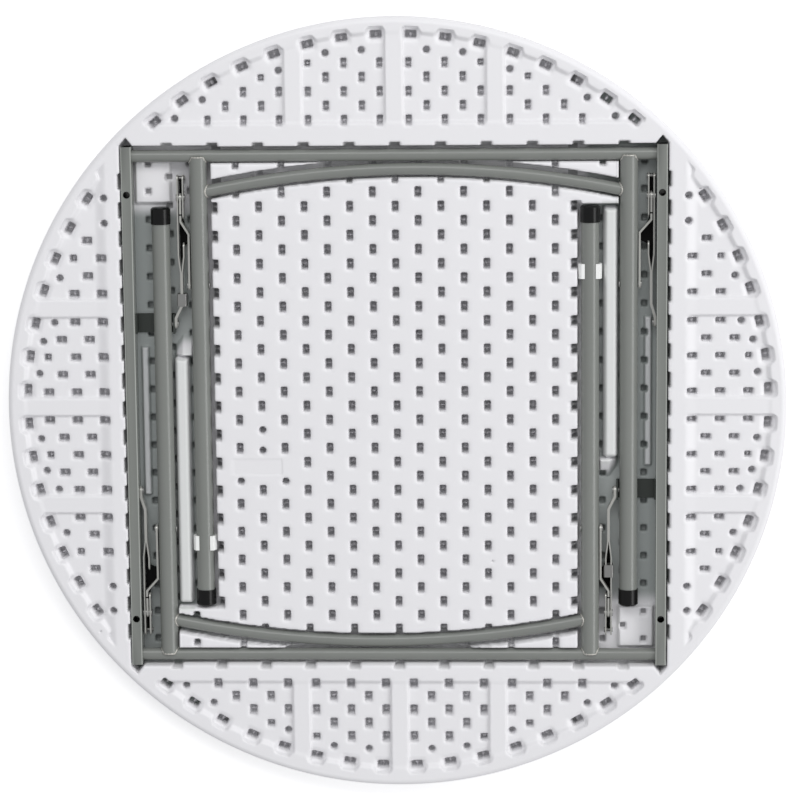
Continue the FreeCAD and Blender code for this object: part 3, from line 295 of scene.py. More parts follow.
# %% Base height
PATTERN_X, PATTERN_Y, COLUMN_PITCH = 2.0, 4.0, 35.4
PANEL_DROP, PANEL_WALL, PANEL_END, PANEL_CORNER = 3.0, 3.0, GROOVE_START + 2, 1.0
PANEL_NOTCH, PANEL_NOTCH_Y, PANEL_NOTCH_END = (7.5, 10.0, 3.5), 2.6, ARCH_LOW - 8
PANEL_NOTCH_WALL, PANEL_NOTCH_DROP = 3.0, 18.0
BEAM_NOTCH, BEAM_NOTCH_END = (10.0, 7.0, 3.5), OUTER_LEG + 10
BEAM_NOTCH_WALL, BEAM_NOTCH_DROP = 4.5, 29.0
DRAFT, SHOULDER_REACH, SHOULDER_DROP = 2.2, 4.5, 1.3


def notch_drop(x, y):
    """The shallow notches: in the panel's edges beside the bays, and in the beams beside a cross tube.

    Each is its drop x the eased distance inside a rounded rectangle that repeats along the edge.
    """
    far_x, far_y = np.abs(x), np.abs(y)
    at_panel = inside_box(far_x - BAY_INNER, repeat(y - PANEL_NOTCH_Y, ROW_PITCH), *PANEL_NOTCH)
    at_beam = inside_box(repeat(x - PATTERN_X, 2 * COLUMN_PITCH), far_y - GROOVE_END, *BEAM_NOTCH)
    panel = PANEL_NOTCH_DROP * ease(at_panel, PANEL_NOTCH_WALL)
    beam = BEAM_NOTCH_DROP * ease(at_beam, BEAM_NOTCH_WALL)
    return np.maximum(np.where(far_y < PANEL_NOTCH_END, panel, 0.0),
                      np.where(far_x < BEAM_NOTCH_END, beam, 0.0))


def base_height(x, y):
    """The moulding without its dimples.

    (rim height - largest drop - notch - shoulder) x (1 - fall) + floor height x fall, and at least
    what stands up in the bays.
    """
    across, row = x - PATTERN_X, y - PATTERN_Y
    rim = rim_fall(across - RIM_SHIFT[0], row - RIM_SHIFT[1])
    upright = segment_drop(across, np.abs(row), rim, BEAM_EDGE, BEAM_WALL)
    sideways = segment_drop(row, np.abs(across), rim, SIDE_EDGE, SIDE_WALL)
    panel = PANEL_DROP * ease(inside_box(x, y, CORNER_EDGE, PANEL_END, PANEL_CORNER), PANEL_WALL)
    z = RIM_HEIGHT - np.maximum.reduce([upright, sideways, panel]) - notch_drop(x, y)
    depth = frame_depth(x, y)
    fall = ease(depth, DRAFT)
    z = (z - SHOULDER_DROP * shoulder(depth, SHOULDER_REACH)) * (1 - fall) + FLOOR_HEIGHT * fall
    return np.maximum(z, FLOOR_HEIGHT + raised_floor(x, y))


print("heights of the panel and the bay's floor:", base_height(np.array([0.0, INNER_LEG]), np.zeros(2)))

# %% [markdown]
# ## The dimples: one formula for each repeat
#
# Blow moulding joins two skins of plastic, and each dimple is a place where the tool pinches them
# together, which is why such a thin shell can carry weight. The dimples repeat, so a loop over them is
# not needed: `np.round` tells every point which dimple is the nearest, and the offset from that dimple's
# centre is all that its shape depends on. A dimple has a soft shoulder, a steep wall and two pits with
# a saddle between them.

# %% Dimple shape
DIMPLE_CORNER, DIMPLE_WALL = 3.4, 2.4
SADDLE, SADDLE_ALONG, SADDLE_ACROSS = 0.58, 2.4, 4.2
SOFT_SHARE, SOFT_REACH = 0.045, 6.0
DOT_SOFT, DOT_REACH, DOT_DEEP = 0.04, 5.0, 0.9


def dimple_depth(across, along, half_width, half_length, saddle=SADDLE):
    """Share of a dimple's full depth, 0 to 1, from the offsets to its centre.

    A shallow shoulder 6 mm wide, then a wall, and a saddle in the middle that takes away its share of
    the depth as a bell curve of the offset from the centre.
    """
    inside = inside_box(across, along, half_width, half_length, DIMPLE_CORNER)
    dip = 1 - saddle * np.exp(-(along / SADDLE_ALONG) ** 2 - (across / SADDLE_ACROSS) ** 2)
    return SOFT_SHARE * shoulder(inside, SOFT_REACH) + (1 - SOFT_SHARE) * ease(inside, DIMPLE_WALL) * dip


def round_dimples(x, y, places, radius):
    """Round dimples at a short list of places, as the deepest of them at each point.

    Each is a soft shoulder plus a wall, both of the radius less the distance from its place.
    """
    depth = np.zeros_like(x)
    for place_x, place_y in places:
        inside = radius - np.hypot(x - place_x, y - place_y)
        dot = DOT_SOFT * shoulder(inside, DOT_REACH) + DOT_DEEP * ease(inside, DIMPLE_WALL)
        depth = np.maximum(depth, dot)
    return depth


print("share in a saddle and in a pit:", dimple_depth(np.zeros(2), np.array([0.0, 5.0]), 6.0, 9.0))

# %% [markdown]
# ## Places that break the pattern
#
# Round dimples fill the corners where a full one does not fit, and four more stand round a plain,
# shallow field in the centre panel. Four tiny vents let air out of the mould. No formula gives these
# few, so they are listed by hand, in millimetres from the pattern's centre, for one quarter or for the
# plain field alone. The field and the vents count from the table's middle.

# %% Round dimples, plain field and vents
FIELD_GAPS = [(-6, -1.0), (-6, -2.0), (-7, -2.5), (-5, -2.5)]
FIELD_PLACE, FIELD_WALL, FIELD_DROP = (-218.0, -92.5, 39.0, 13.0, 2.0), 1.0, 0.9
FIELD_DOTS = [(-211.5, -38.2), (-211.8, -70.7), (-246.9, -119.8), (-176.3, -119.9)]
SEGMENT_DOTS = [(340.5, 451.0), (297.3, 479.7), (178.5, 524.3), (106.0, 550.8), (50.2, 555.0),
                (561.8, 52.0), (554.3, 103.0), (536.0, 133.0), (525.8, 203.2), (453.5, 289.0), (453.5, 328.5)]
VENTS = [(-163.7, 188.7), (150.4, -243.9), (-472.7, -357.5), (473.0, 343.0)]
DOT_RADIUS, FIELD_DOT_RADIUS, VENT_RADIUS = 6.4, 6.2, 1.7
DOT_SHARE, VENT_SHARE, DOT_CLEARANCE = 0.86, 0.4, 13.5


def near_dot(x, y):
    """Whether a round dimple takes the place of a full one whose centre this is."""
    near = np.zeros(x.shape, bool)
    for place_x, place_y in SEGMENT_DOTS:
        near |= np.hypot(x - place_x, y - place_y) < DOT_CLEARANCE
    return near


print("round dimples:", 4 * len(SEGMENT_DOTS) + len(FIELD_DOTS), "and vents:", len(VENTS))

# %% [markdown]
# ## Lattice, rows and ring
#
# The panel's dimples stand on a staggered lattice, which runs on through the bays, shorter and without a
# saddle. In the segments they stand in rows that start anew beside each rib. Along the rim they form a
# ring. Copies of one modelled dimple would each need to be joined to the skin round it. Here every family
# only has its own way of finding the nearest centre, and all share the one dimple formula.

# %% Lattice inside the frame
EDGE_COLUMN, LAST_COLUMN, LAST_LINE = 8, 11, 9
BAY_MIDDLE_COLUMN, BAY_CLOSER = 10, 2.8
PANEL_DIMPLE, BAY_DIMPLE, BAY_SADDLE = (6.0, 9.0), (6.0, 6.2), 0.0
EDGE_DIMPLE, EDGE_DIMPLE_X = (5.8, 9.6), INNER_LEG - 24.6


def lattice_depth(across, row):
    """The staggered lattice inside the frame, bays and grooves included.

    A point's column and line are its rounded numbers of pitches, lines half a pitch on in odd columns.
    In the bays the columns stand closer. The column on a bay's edge is left to the notches.
    """
    column = np.round(across / COLUMN_PITCH)
    half = np.where(np.mod(column, 2) == 1, 0.5, 0.0)
    line = np.round(row / ROW_PITCH - half) + half
    kept = (np.abs(column) <= LAST_COLUMN) & (np.abs(line) < LAST_LINE) & (np.abs(column) != EDGE_COLUMN)
    for gap_column, gap_line in FIELD_GAPS:
        kept &= ~((column == gap_column) & (line == gap_line))
    in_bay = np.abs(column) > EDGE_COLUMN
    nearer = (BAY_MIDDLE_COLUMN - np.abs(column)) * BAY_CLOSER * np.sign(column)
    offsets = across - column * COLUMN_PITCH - np.where(in_bay, nearer, 0.0), row - line * ROW_PITCH
    bay_share = dimple_depth(*offsets, *BAY_DIMPLE, BAY_SADDLE)
    return np.where(kept, np.where(in_bay, bay_share, dimple_depth(*offsets, *PANEL_DIMPLE)), 0.0)


def edge_share(x, y):
    """The dimples in the notches along the centre panel's two long edges, one for each row's pitch."""
    depth = dimple_depth(np.abs(x) - EDGE_DIMPLE_X, repeat(y - PANEL_NOTCH_Y, ROW_PITCH), *EDGE_DIMPLE)
    return np.where(np.abs(y) < PANEL_NOTCH_END, depth, 0.0)


print("columns in the panel:", 2 * EDGE_COLUMN - 1, "and in each bay:", LAST_COLUMN - EDGE_COLUMN)

# %% Rows of the segments
FIRST_DIMPLE, LAST_DIMPLE, ALONG_PITCH, OUT_PITCH = 22.2, 142.0, 55.7, 22.0
LAST_REACH, SHORT_REACH, SHORTER, FIRST_WIDER = 562.0, 549.0, 2.6, 0.6
SEGMENT_DIMPLE, SEGMENT_DEPTH, DEPTH_GROWTH = (6.0, 8.8), 0.84, 0.06


def segment_share(along, out, first, grow, swapped):
    """The staggered rows of one segment, each row starting anew beside a rib.

    Even and odd rows are worked out apart, so the shoulders of neighbours may meet. The last dimple
    before the rim is shorter. Where grow is positive the dimples are larger, and the first row more so.
    """
    side = np.abs(along)
    second = side > RIB_PITCH
    start = np.where(second, RIB_PITCH, 0.0) + FIRST_DIMPLE
    share = np.zeros_like(side)
    for parity in (0, 1):
        line = 2 * np.round((out - first - OUT_PITCH * parity) / (2 * OUT_PITCH)) + parity
        count = np.maximum(np.round((side - start) / ALONG_PITCH - parity / 2), 0)
        place, centre = start + (count + parity / 2) * ALONG_PITCH, first + line * OUT_PITCH
        reach = np.hypot(place, centre)
        fits = (reach < LAST_REACH) & (second | (place < LAST_DIMPLE)) & (line >= 0)
        fits &= ~(near_dot(centre, place) if swapped else near_dot(place, centre))
        half_width = SEGMENT_DIMPLE[0] + grow + np.where((line == 0) & (grow > 0), FIRST_WIDER, 0.0)
        half_length = SEGMENT_DIMPLE[1] + grow / 2 - np.where(reach > SHORT_REACH, SHORTER, 0.0)
        depth = dimple_depth(side - place, out - centre, half_width, half_length)
        share = np.maximum(share, np.where(fits, depth, 0.0))
    return share * (SEGMENT_DEPTH + DEPTH_GROWTH * grow)


print(f"a row's dimples {ALONG_PITCH} mm apart, rows {OUT_PITCH} mm apart")

# %% Ring along the rim
RIM_DIMPLE, RING_X, RING_Y = (7.0, 10.0), SIDE_EDGE, BEAM_EDGE - 5


def rim_share(across, row):
    """The ring of larger dimples at the foot of the rim's wavy wall, none at the frame's corners.

    The nearest dimple's angle gives two directions, and the offsets are measured along them.
    """
    pitch = 2 * math.pi / RIM_COUNT
    nearest = (np.floor(np.arctan2(row, across) / pitch) + 0.5) * pitch
    cosine, sine = np.cos(nearest), np.sin(nearest)
    kept = (RIM_RING * np.abs(cosine) > RING_X) | (RIM_RING * np.abs(sine) > RING_Y)
    outward, around = across * cosine + row * sine - RIM_RING, row * cosine - across * sine
    return np.where(kept, dimple_depth(outward, around, *RIM_DIMPLE), 0.0)


print(f"ring pitch {2 * math.pi * RIM_RING / RIM_COUNT:.1f} mm")

# %% [markdown]
# ## One height for every point
#
# On the table a dimple is pressed about 30 mm into the thick panels, and only a few millimetres into a
# bay's thin floor. It could be cut to a fixed level, but then its rim would look the same everywhere.
# Here its depth follows the height of the surface that it is pressed into. The ridges stay smooth.

# %% Surface height
FLOOR_PIT, PANEL_PIT = 8.2, 30.0
LATTICE_X, LATTICE_Y, LATTICE_TOP = BAY_OUTER - 1, GROOVE_END - 1, STRIP_RISE + 0.1
UPRIGHT_START, SIDEWAYS_START = BEAM_EDGE - 10, SIDE_EDGE - 5
FIRST_UPRIGHT, FIRST_SIDEWAYS = 447.2, 459.9
GROW_LOWER, GROW_LEFT, GROW_OTHER = 0.7, 0.6, -0.3


def surface_height(x, y):
    """Height of the underside at each point: base height - full depth x deepest share - plain field.

    The full depth runs in a straight line from the floor's pits to the panel's with the base height.
    """
    base = base_height(x, y)
    across, row = x - PATTERN_X, y - PATTERN_Y
    far_x, far_y = np.abs(across), np.abs(row)
    within = (np.abs(x) < LATTICE_X) & (np.abs(y) < LATTICE_Y) & (raised_floor(x, y) < LATTICE_TOP)
    lattice = np.maximum(lattice_depth(across, row), edge_share(x, y))
    upright = segment_share(across, far_y, FIRST_UPRIGHT, np.where(row < 0, GROW_LOWER, GROW_OTHER), False)
    sideways = segment_share(row, far_x, FIRST_SIDEWAYS, np.where(across < 0, GROW_LEFT, GROW_OTHER), True)
    share = np.maximum.reduce([
        np.where(within, lattice, 0.0),
        np.where(far_y > UPRIGHT_START, upright, np.where(far_x > SIDEWAYS_START, sideways, 0.0)),
        rim_share(across - RIM_SHIFT[0], row - RIM_SHIFT[1]),
        DOT_SHARE * round_dimples(far_x, far_y, SEGMENT_DOTS, DOT_RADIUS),
        round_dimples(across, row, FIELD_DOTS, FIELD_DOT_RADIUS),
        VENT_SHARE * round_dimples(x, y, VENTS, VENT_RADIUS)])
    full = np.interp(base, [FLOOR_HEIGHT, RIM_HEIGHT - PANEL_DROP], [FLOOR_PIT, PANEL_PIT])
    return base - full * share - FIELD_DROP * ease(placed_box(x, y, *FIELD_PLACE), FIELD_WALL)


print("height in the plain field:", surface_height(*np.array(FIELD_PLACE[:2]).reshape(2, 1)))

# %% [markdown]
# ## From heights to meshes
#
# A height map needs grid lines where the shape changes. Inside the frame the lines bunch up at each
# dimple's walls and spread between dimples, so every wall is caught with few faces. Lines beyond the
# circle are pulled back onto it, which trims the grid to the round rim without a Boolean. The moulding
# is cut into eight tiles along plain stretches, to keep each mesh a handy size.

# %% Grid lines
COLUMN_MARKS = np.array([1.8, 3.4, 4.5, 5.3, 6.1, 7.4, 9.6, 12.8])
ROW_MARKS = np.array([1.6, 3.4, 5.4, 7.2, 8.2, 9.1])
FINE, BAY_FINE, CLOSEST = 1.4, 1.6, 0.5
INNER_CUT, OUTER_CUT, BEAM_CUT = 290.0, 440.0, 431.0
EDGE_RADIUS, FLAT_CELL = TABLE_RADIUS - 9.5, 0.02


def marked_lines(low, high, pitch, marks, shift):
    """Grid lines between two limits, bunched on both sides of every multiple of a pitch."""
    steps = np.arange(math.floor((low - shift) / pitch) - 1, math.ceil((high - shift) / pitch) + 2)
    offsets = np.concatenate([-marks[::-1], [0.0], marks, [pitch / 2]])
    lines = (steps[:, None] * pitch + offsets[None, :] + shift).ravel()
    lines = lines[(lines > low + CLOSEST) & (lines < high - CLOSEST)]
    return np.unique(np.round(np.concatenate([lines, [low, high]]), 3))


def even_lines(low, high, step=FINE):
    """Evenly spaced grid lines between two limits."""
    return np.linspace(low, high, int(round((high - low) / step)) + 1)


row_lines = marked_lines(-BEAM_CUT, BEAM_CUT, ROW_PITCH / 2, ROW_MARKS, PATTERN_Y)
panel_lines = marked_lines(-INNER_CUT, INNER_CUT, COLUMN_PITCH, COLUMN_MARKS, PATTERN_X)
bay_lines = even_lines(INNER_CUT, OUTER_CUT, BAY_FINE)
print(f"{len(row_lines)} rows by {len(panel_lines)} columns in the centre")

# %% A mesh from arrays


def add_object(name, data):
    """A new object that holds the data, linked into the scene."""
    item = bpy.data.objects.new(name, data)
    bpy.context.scene.collection.objects.link(item)
    return item


def make_mesh(name, points, faces):
    """A smooth mesh object from arrays of points in millimetres and of four-cornered faces."""
    mesh = bpy.data.meshes.new(name)
    mesh.vertices.add(len(points))
    mesh.vertices.foreach_set("co", (points * MM).astype(np.float32).ravel())
    mesh.loops.add(faces.size)
    mesh.loops.foreach_set("vertex_index", faces.astype(np.int32).ravel())
    mesh.polygons.add(len(faces))
    mesh.polygons.foreach_set("loop_start", np.arange(0, faces.size, 4, dtype=np.int32))
    mesh.update(calc_edges=True)
    mesh.shade_smooth()
    return add_object(name, mesh)


def grid_faces(rows, columns, closed=False, tube=False):
    """Four corners of each cell of a grid whose points are listed row by row.

    A closed grid also has cells from its last row of points back to its first, and a tube from its
    last column back to its first.
    """
    index = np.arange(rows * columns).reshape(rows, columns)
    if closed:
        index = np.concatenate([index, index[:1]])
    if tube:
        index = np.concatenate([index, index[:, :1]], 1)
    return np.stack([index[:-1, :-1], index[:-1, 1:], index[1:, 1:], index[1:, :-1]], -1).reshape(-1, 4)


print("cells of 3 by 3 points, open and closed:", len(grid_faces(3, 3)), len(grid_faces(3, 3, True)))

# %% The eight tiles


def make_tile(name, x_lines, y_lines):
    """One tile of the underside: the height map on grid lines, pulled in to the circle of the rim.

    A point outside the circle moves onto it along y. Cells that shrink to nothing are left out.
    """
    x, y = np.meshgrid(x_lines, y_lines)
    reach = np.sqrt(np.maximum(EDGE_RADIUS ** 2 - x ** 2, 0))
    y = np.clip(y, -reach, reach)
    z = surface_height(x, y)
    points = np.stack([x.ravel(), y.ravel(), z.ravel()], 1)
    faces = grid_faces(len(y_lines), len(x_lines))
    corner_y = points[faces, 1]
    tall = corner_y[:, 3] - corner_y[:, 0] + corner_y[:, 2] - corner_y[:, 1]
    faces = faces[tall > FLAT_CELL]
    used = np.unique(faces)
    lookup = np.zeros(len(points), np.int64)
    lookup[used] = np.arange(len(used))
    print(f"{name}: {2 * len(faces)} triangles, {z.min():.1f} to {z.max():.1f} mm high")
    return make_mesh(name, points[used], lookup[faces])


middle_row = row_lines[np.argmin(np.abs(row_lines - PATTERN_Y - ROW_PITCH / 4))]
side_rows, side_columns = even_lines(-BEAM_CUT, BEAM_CUT), even_lines(OUTER_CUT, EDGE_RADIUS)
end_columns, end_rows = even_lines(-OUTER_CUT, OUTER_CUT), even_lines(BEAM_CUT, EDGE_RADIUS)
tiles = [
    make_tile("panel_upper", panel_lines, row_lines[row_lines >= middle_row]),
    make_tile("panel_lower", panel_lines, row_lines[row_lines <= middle_row]),
    make_tile("bay_right", bay_lines, row_lines),
    make_tile("bay_left", -bay_lines[::-1], row_lines),
    make_tile("segment_right", side_columns, side_rows),
    make_tile("segment_left", -side_columns[::-1], side_rows),
    make_tile("segment_upper", end_columns, end_rows),
    make_tile("segment_lower", end_columns, -end_rows[::-1]),
]

# %% [markdown]
# ## The rim and the working face
#
# What is left of the moulding is turned: the rounded rim, the outer wall, the rounded lower edge and
# the smooth working face. A height map can't give a wall that stands upright. A turned piece can: it is
# a profile of (radius, height) carried round a circle, so its points are the profile's radius times the
# cosine and sine of the angle.

# %% Turned rim and working face
# The profile starts a little under the tiles' edge, and crosses the working face in three long steps
RIM_ROUND, FACE_ROUND = 9.0, 6.0
RIM_LAP, RIM_SINK, FACE_RADII = 3.0, 0.03, (400.0, 150.0, 0.5)


def quarter_round(radius, height, round_radius, start, count=8):
    """Points of a quarter circle in a profile, from a start angle in degrees, turning clockwise."""
    angle = np.radians(np.linspace(start, start - 90, count))
    return np.stack([radius + round_radius * np.cos(angle), height + round_radius * np.sin(angle)], 1)


def make_turned(name, profile, count=360):
    """A closed turn of a profile about Z: radius x cosine, radius x sine and height."""
    angle = np.linspace(0, 2 * math.pi, count, endpoint=False)[:, None]
    radius, height = profile[:, 0][None, :], profile[:, 1][None, :]
    grid = np.broadcast_arrays(radius * np.cos(angle), radius * np.sin(angle), height)
    points = np.stack(grid, -1).reshape(-1, 3)
    return make_mesh(name, points, grid_faces(count, len(profile), closed=True))


rim_profile = np.concatenate([
    [[EDGE_RADIUS - RIM_LAP, RIM_HEIGHT - RIM_SINK]],
    quarter_round(TABLE_RADIUS - RIM_ROUND, RIM_HEIGHT - RIM_ROUND, RIM_ROUND, 90),
    quarter_round(TABLE_RADIUS - FACE_ROUND, FACE_ROUND, FACE_ROUND, 0),
    [[radius, 0.0] for radius in FACE_RADII]])
rim = make_turned("rim_and_face", rim_profile)
print("rim profile points:", len(rim_profile))

moulding = tiles + [rim]
for piece in moulding:
    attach(piece, "root")
    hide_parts("tabletop")

# %% [markdown]
# ## Rails with rounded edges
#
# A rail is folded from sheet steel, and its round edges draw a thin bright line. The CAD rail has sharp
# ones. It could be modelled again, but its shape is right, so each rail is a copy of its CAD mesh, with
# the flat triangles joined to whole faces first, and a small Bevel.

# %% Rails
import bmesh

RAIL_ROUND, MERGE_GAP, FLAT_ANGLE, SHARP_ANGLE = 2.6, 0.02, 1.0, 50


def rounded_copy(node, width, segments=3):
    """A copy of a CAD node, merged and with flat faces joined, so that a Bevel can round its edges."""
    work = bmesh.new()
    work.from_mesh(frame["nodes"][node].data)
    bmesh.ops.remove_doubles(work, verts=work.verts, dist=MERGE_GAP * MM)
    bmesh.ops.dissolve_limit(work, angle_limit=math.radians(FLAT_ANGLE), verts=work.verts, edges=work.edges)
    mesh = bpy.data.meshes.new(f"{node}_rounded")
    work.to_mesh(mesh)
    work.free()
    mesh.shade_smooth()
    item = add_object(f"{node}_rounded", mesh)
    bevel = item.modifiers.new("edges", "BEVEL")
    bevel.width, bevel.segments = width * MM, segments
    bevel.limit_method, bevel.angle_limit = "ANGLE", math.radians(SHARP_ANGLE)
    bevel.harden_normals = True
    print(f"{item.name}: {len(mesh.polygons)} faces before the bevel")
    return item


rails = []
for node in ("rail_left", "rail_right"):
    rail = rounded_copy(node, RAIL_ROUND)
    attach(rail, "root")
    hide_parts(node)
    rails.append(rail)

# %% [markdown]
# ## Painted-shade webs and black bands of the braces
#
# Beneath the bars of each folding brace's fork lies deep shade, painted here as a black web: a thin
# sheet laid under the bars. A black band goes round its link. Both are flat and thin, so an outline and
# two heights give them, with a fine Bevel. A brace lies at a slant in the table. So the outline is drawn
# in the brace's own frame, where it is simple, and `brace_points` turns it into place. One outline then
# serves all four braces.

# %% Plates in a brace's own frame
FOLD_REACH, FOLD_RISE = 331.185, 23.671
FORK_SLOPE, LINK_SLOPE = math.radians(0.384), math.radians(2.2245)
FOLD_PLANE, LINK_PLANE = {"inner": 29.0, "outer": 34.5}, 16.5
PLATE_ROUND = 0.25


def brace_points(points, side, turned, slope):
    """Points of a brace from its own frame into the table's: turned by the slope, moved to the rivet.

    Own x runs from the fold rivet towards the feet and dips by the slope, own y runs out from the leg.
    """
    along, out, up = points[:, 0], points[:, 1], points[:, 2]
    leg, hand = (-INNER_LEG, -1) if side == "inner" else (OUTER_LEG, 1)
    x = leg + hand * out
    y = FOLD_REACH - (along * math.cos(slope) - up * math.sin(slope))
    z = FOLD_RISE + along * math.sin(slope) + up * math.cos(slope)
    turn = -1 if turned else 1
    return np.stack([turn * x, turn * y, z], 1)


def make_plate(name, outline, low, high, side, turned, slope):
    """A flat plate: an outline of (along, out) in a brace's frame, between two heights.

    On the inner side the outline is mirrored, so the normals are recalculated to point outwards.
    """
    count = len(outline)
    levels = [np.column_stack([outline, np.full(count, level)]) for level in (low, high)]
    points = brace_points(np.concatenate(levels), side, turned, slope)
    ring = np.arange(count)
    walls = np.stack([ring, (ring + 1) % count, (ring + 1) % count + count, ring + count], 1).tolist()
    ends = [ring[::-1].tolist(), (ring + count).tolist()]
    mesh = bpy.data.meshes.new(name)
    mesh.from_pydata((points * MM).tolist(), [], walls + ends)
    work = bmesh.new()
    work.from_mesh(mesh)
    bmesh.ops.recalc_face_normals(work, faces=work.faces)
    work.to_mesh(mesh)
    work.free()
    item = add_object(name, mesh)
    bevel = item.modifiers.new("edges", "BEVEL")
    bevel.width, bevel.segments, bevel.limit_method = PLATE_ROUND * MM, 2, "ANGLE"
    return item


print("fold rivet of leg set a at y", FOLD_REACH, "and z", FOLD_RISE)

# %% Webs and bands
# A web, a black sheet of painted shade, lies under the bars, with a tapered tip and a tooth that reaches
# towards the link
WEB_HALF, WEB_TIP, WEB_START, WEB_NECK, WEB_END = 3.1, 0.15, -33.0, 91.0, 115.0
WEB_LOW, WEB_HIGH, BAND_HEIGHT = -11.3, -10.4, 7.3
BAND_NEAR, BAND_FAR, BAND_HALF = 25.4, 27.6, 2.4
BRACES = [(letter, side) for letter in "ab" for side in ("inner", "outer")]
shade_webs, bands = [], []
for letter, side in BRACES:
    fold = FOLD_PLANE[side]
    tooth = LINK_PLANE - fold
    shade_web_outline = np.array([
        (WEB_START, WEB_HALF), (WEB_NECK, WEB_HALF), (WEB_END, WEB_TIP), (WEB_END, -WEB_TIP),
        (WEB_NECK, -WEB_HALF), (77.0, -WEB_HALF), (70.0, tooth), (57.0, tooth), (46.0, 0.45 * tooth),
        (35.0, -WEB_HALF), (WEB_START, -WEB_HALF)]) + [0, fold]
    web = make_plate(f"fork_shade_web_{letter}_{side}", shade_web_outline, WEB_LOW, WEB_HIGH, side,
                     letter == "b", FORK_SLOPE)
    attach(web, f"fork_{letter}_{side}")
    band_outline = np.array([(BAND_NEAR, BAND_HALF), (BAND_FAR, BAND_HALF),
                             (BAND_FAR, -BAND_HALF), (BAND_NEAR, -BAND_HALF)]) + [0, fold]
    band = make_plate(f"link_band_{letter}_{side}", band_outline, -BAND_HEIGHT, BAND_HEIGHT, side,
                      letter == "b", LINK_SLOPE)
    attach(band, f"link_{letter}_{side}")
    shade_webs.append(web)
    bands.append(band)
print("black webs and bands:", len(shade_webs) + len(bands))

# %% [markdown]
# ## Weld beads
#
# Each leg is welded to its cross tube, and each stretcher to its legs, with a bead that is never quite
# even. A torus would do where a tube stands on a flat plate. Here tube meets tube, so the path is worked
# out from both radii, and small rings are carried along it whose size swells and shrinks.

# %% A bead along a path
BEAD_RADIUS, SWELLS, WAVES, WAVE_START = 1.4, (0.16, 0.10), (17, 29), 1.0


def bead_points(path, radius, sides=8):
    """A closed bead along a closed path: rings across it, of a radius that swells and shrinks.

    The path's direction is the difference of its neighbours. Two directions across it come from
    cross products, and the radius is its mean x (1 + two sines of the place along the path).
    """
    count = len(path)
    ahead = np.roll(path, -1, 0) - np.roll(path, 1, 0)
    ahead /= np.linalg.norm(ahead, axis=1, keepdims=True)
    out = path - path.mean(0)
    side = np.cross(ahead, out)
    side /= np.linalg.norm(side, axis=1, keepdims=True)
    lift = np.cross(side, ahead)
    place = np.linspace(0, 2 * math.pi, count, endpoint=False)
    uneven = SWELLS[0] * np.sin(WAVES[0] * place)
    swell = radius * (1 + uneven + SWELLS[1] * np.sin(WAVES[1] * place + WAVE_START))
    angle = np.linspace(0, 2 * math.pi, sides, endpoint=False)
    ring = side[:, None] * np.cos(angle)[None, :, None] + lift[:, None] * np.sin(angle)[None, :, None]
    return path[:, None] + ring * swell[:, None, None]


def make_beads(name, paths, turned):
    """Several beads as one mesh, turned half round for the second leg set.

    The corners of each cell are listed the other way round than a height map's, to face outwards.
    """
    turn = np.array([-1, -1, 1] if turned else [1, 1, 1])
    points, faces, start = [], [], 0
    for path in paths:
        grid = bead_points(path, BEAD_RADIUS)
        rows, columns = grid.shape[:2]
        faces.append(grid_faces(rows, columns, closed=True, tube=True)[:, [0, 3, 2, 1]] + start)
        points.append(grid.reshape(-1, 3) * turn)
        start += rows * columns
    return make_mesh(name, np.concatenate(points), np.concatenate(faces))


print("mean bead width:", 2 * BEAD_RADIUS, "mm")

# %% Weld beads of both leg sets
CROSS_RADIUS, STRETCHER_RADIUS = (cross_high[1] - cross_low[1]) / 2, 9.5
TUBE_GAP, LEG_INSET, BEAD_BACK, BEAD_LIMIT = 0.3, 0.8, 0.6, 2.2


def leg_weld_path(leg, count=96):
    """The end of a leg on its cross tube: round the leg, back along the cross tube where they meet.

    The place where they meet is the cross tube's circle at the height of each point of the leg's.
    """
    angle = np.linspace(0, 2 * math.pi, count, endpoint=False)
    x, up = (LEG_RADIUS - LEG_INSET) * np.sin(angle), (LEG_RADIUS - LEG_INSET) * np.cos(angle)
    meet = PIVOT_Y - BEAD_BACK - np.sqrt(np.maximum((CROSS_RADIUS + TUBE_GAP) ** 2 - up ** 2, 0))
    return np.stack([leg + x, np.minimum(meet, PIVOT_Y - BEAD_LIMIT), PIVOT_Z + up], 1)


def stretcher_weld_path(leg, hand, count=72):
    """The end of a stretcher on a leg: a ring round the arch's line, pressed onto the leg's round side."""
    angle = np.linspace(0, 2 * math.pi, count, endpoint=False)
    up, away = STRETCHER_RADIUS * np.cos(angle), STRETCHER_RADIUS * np.sin(angle)
    x = leg + hand * np.sqrt((LEG_RADIUS + TUBE_GAP) ** 2 - up ** 2)
    middle = ARCH_Y + np.sqrt(ARCH_RADIUS ** 2 - (x - ARCH_X) ** 2)
    return np.stack([x, middle + away, PIVOT_Z + up], 1)


weld_paths = [leg_weld_path(-INNER_LEG), leg_weld_path(OUTER_LEG),
              stretcher_weld_path(-INNER_LEG, 1), stretcher_weld_path(OUTER_LEG, -1)]
welds = []
for letter in "ab":
    bead = make_beads(f"weld_beads_{letter}", weld_paths, letter == "b")
    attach(bead, f"legs_{letter}")
    welds.append(bead)
print("weld beads:", len(weld_paths) * len(welds))

# %% [markdown]
# ## Finishes as node groups
#
# Plastic and paint are never one flat colour. A small group gives two things that every finish here
# needs: a slow drift of tone across a piece, and a fine grain for the bump. It could be copied into each
# material, but built once with named sockets, it is mended once, and each material sets its own amounts.

# %% Node helpers


def math_node(tree, operation, *values):
    """A Math node on sockets or numbers."""
    node = tree.nodes.new("ShaderNodeMath")
    node.operation = operation
    for index, value in enumerate(values):
        if isinstance(value, (int, float)):
            node.inputs[index].default_value = value
        else:
            tree.links.new(value, node.inputs[index])
    return node.outputs[0]


def product(tree, total, *others):
    """The product of several shares: it is there only where all of them are."""
    for other in others:
        total = math_node(tree, "MULTIPLY", total, other)
    return total


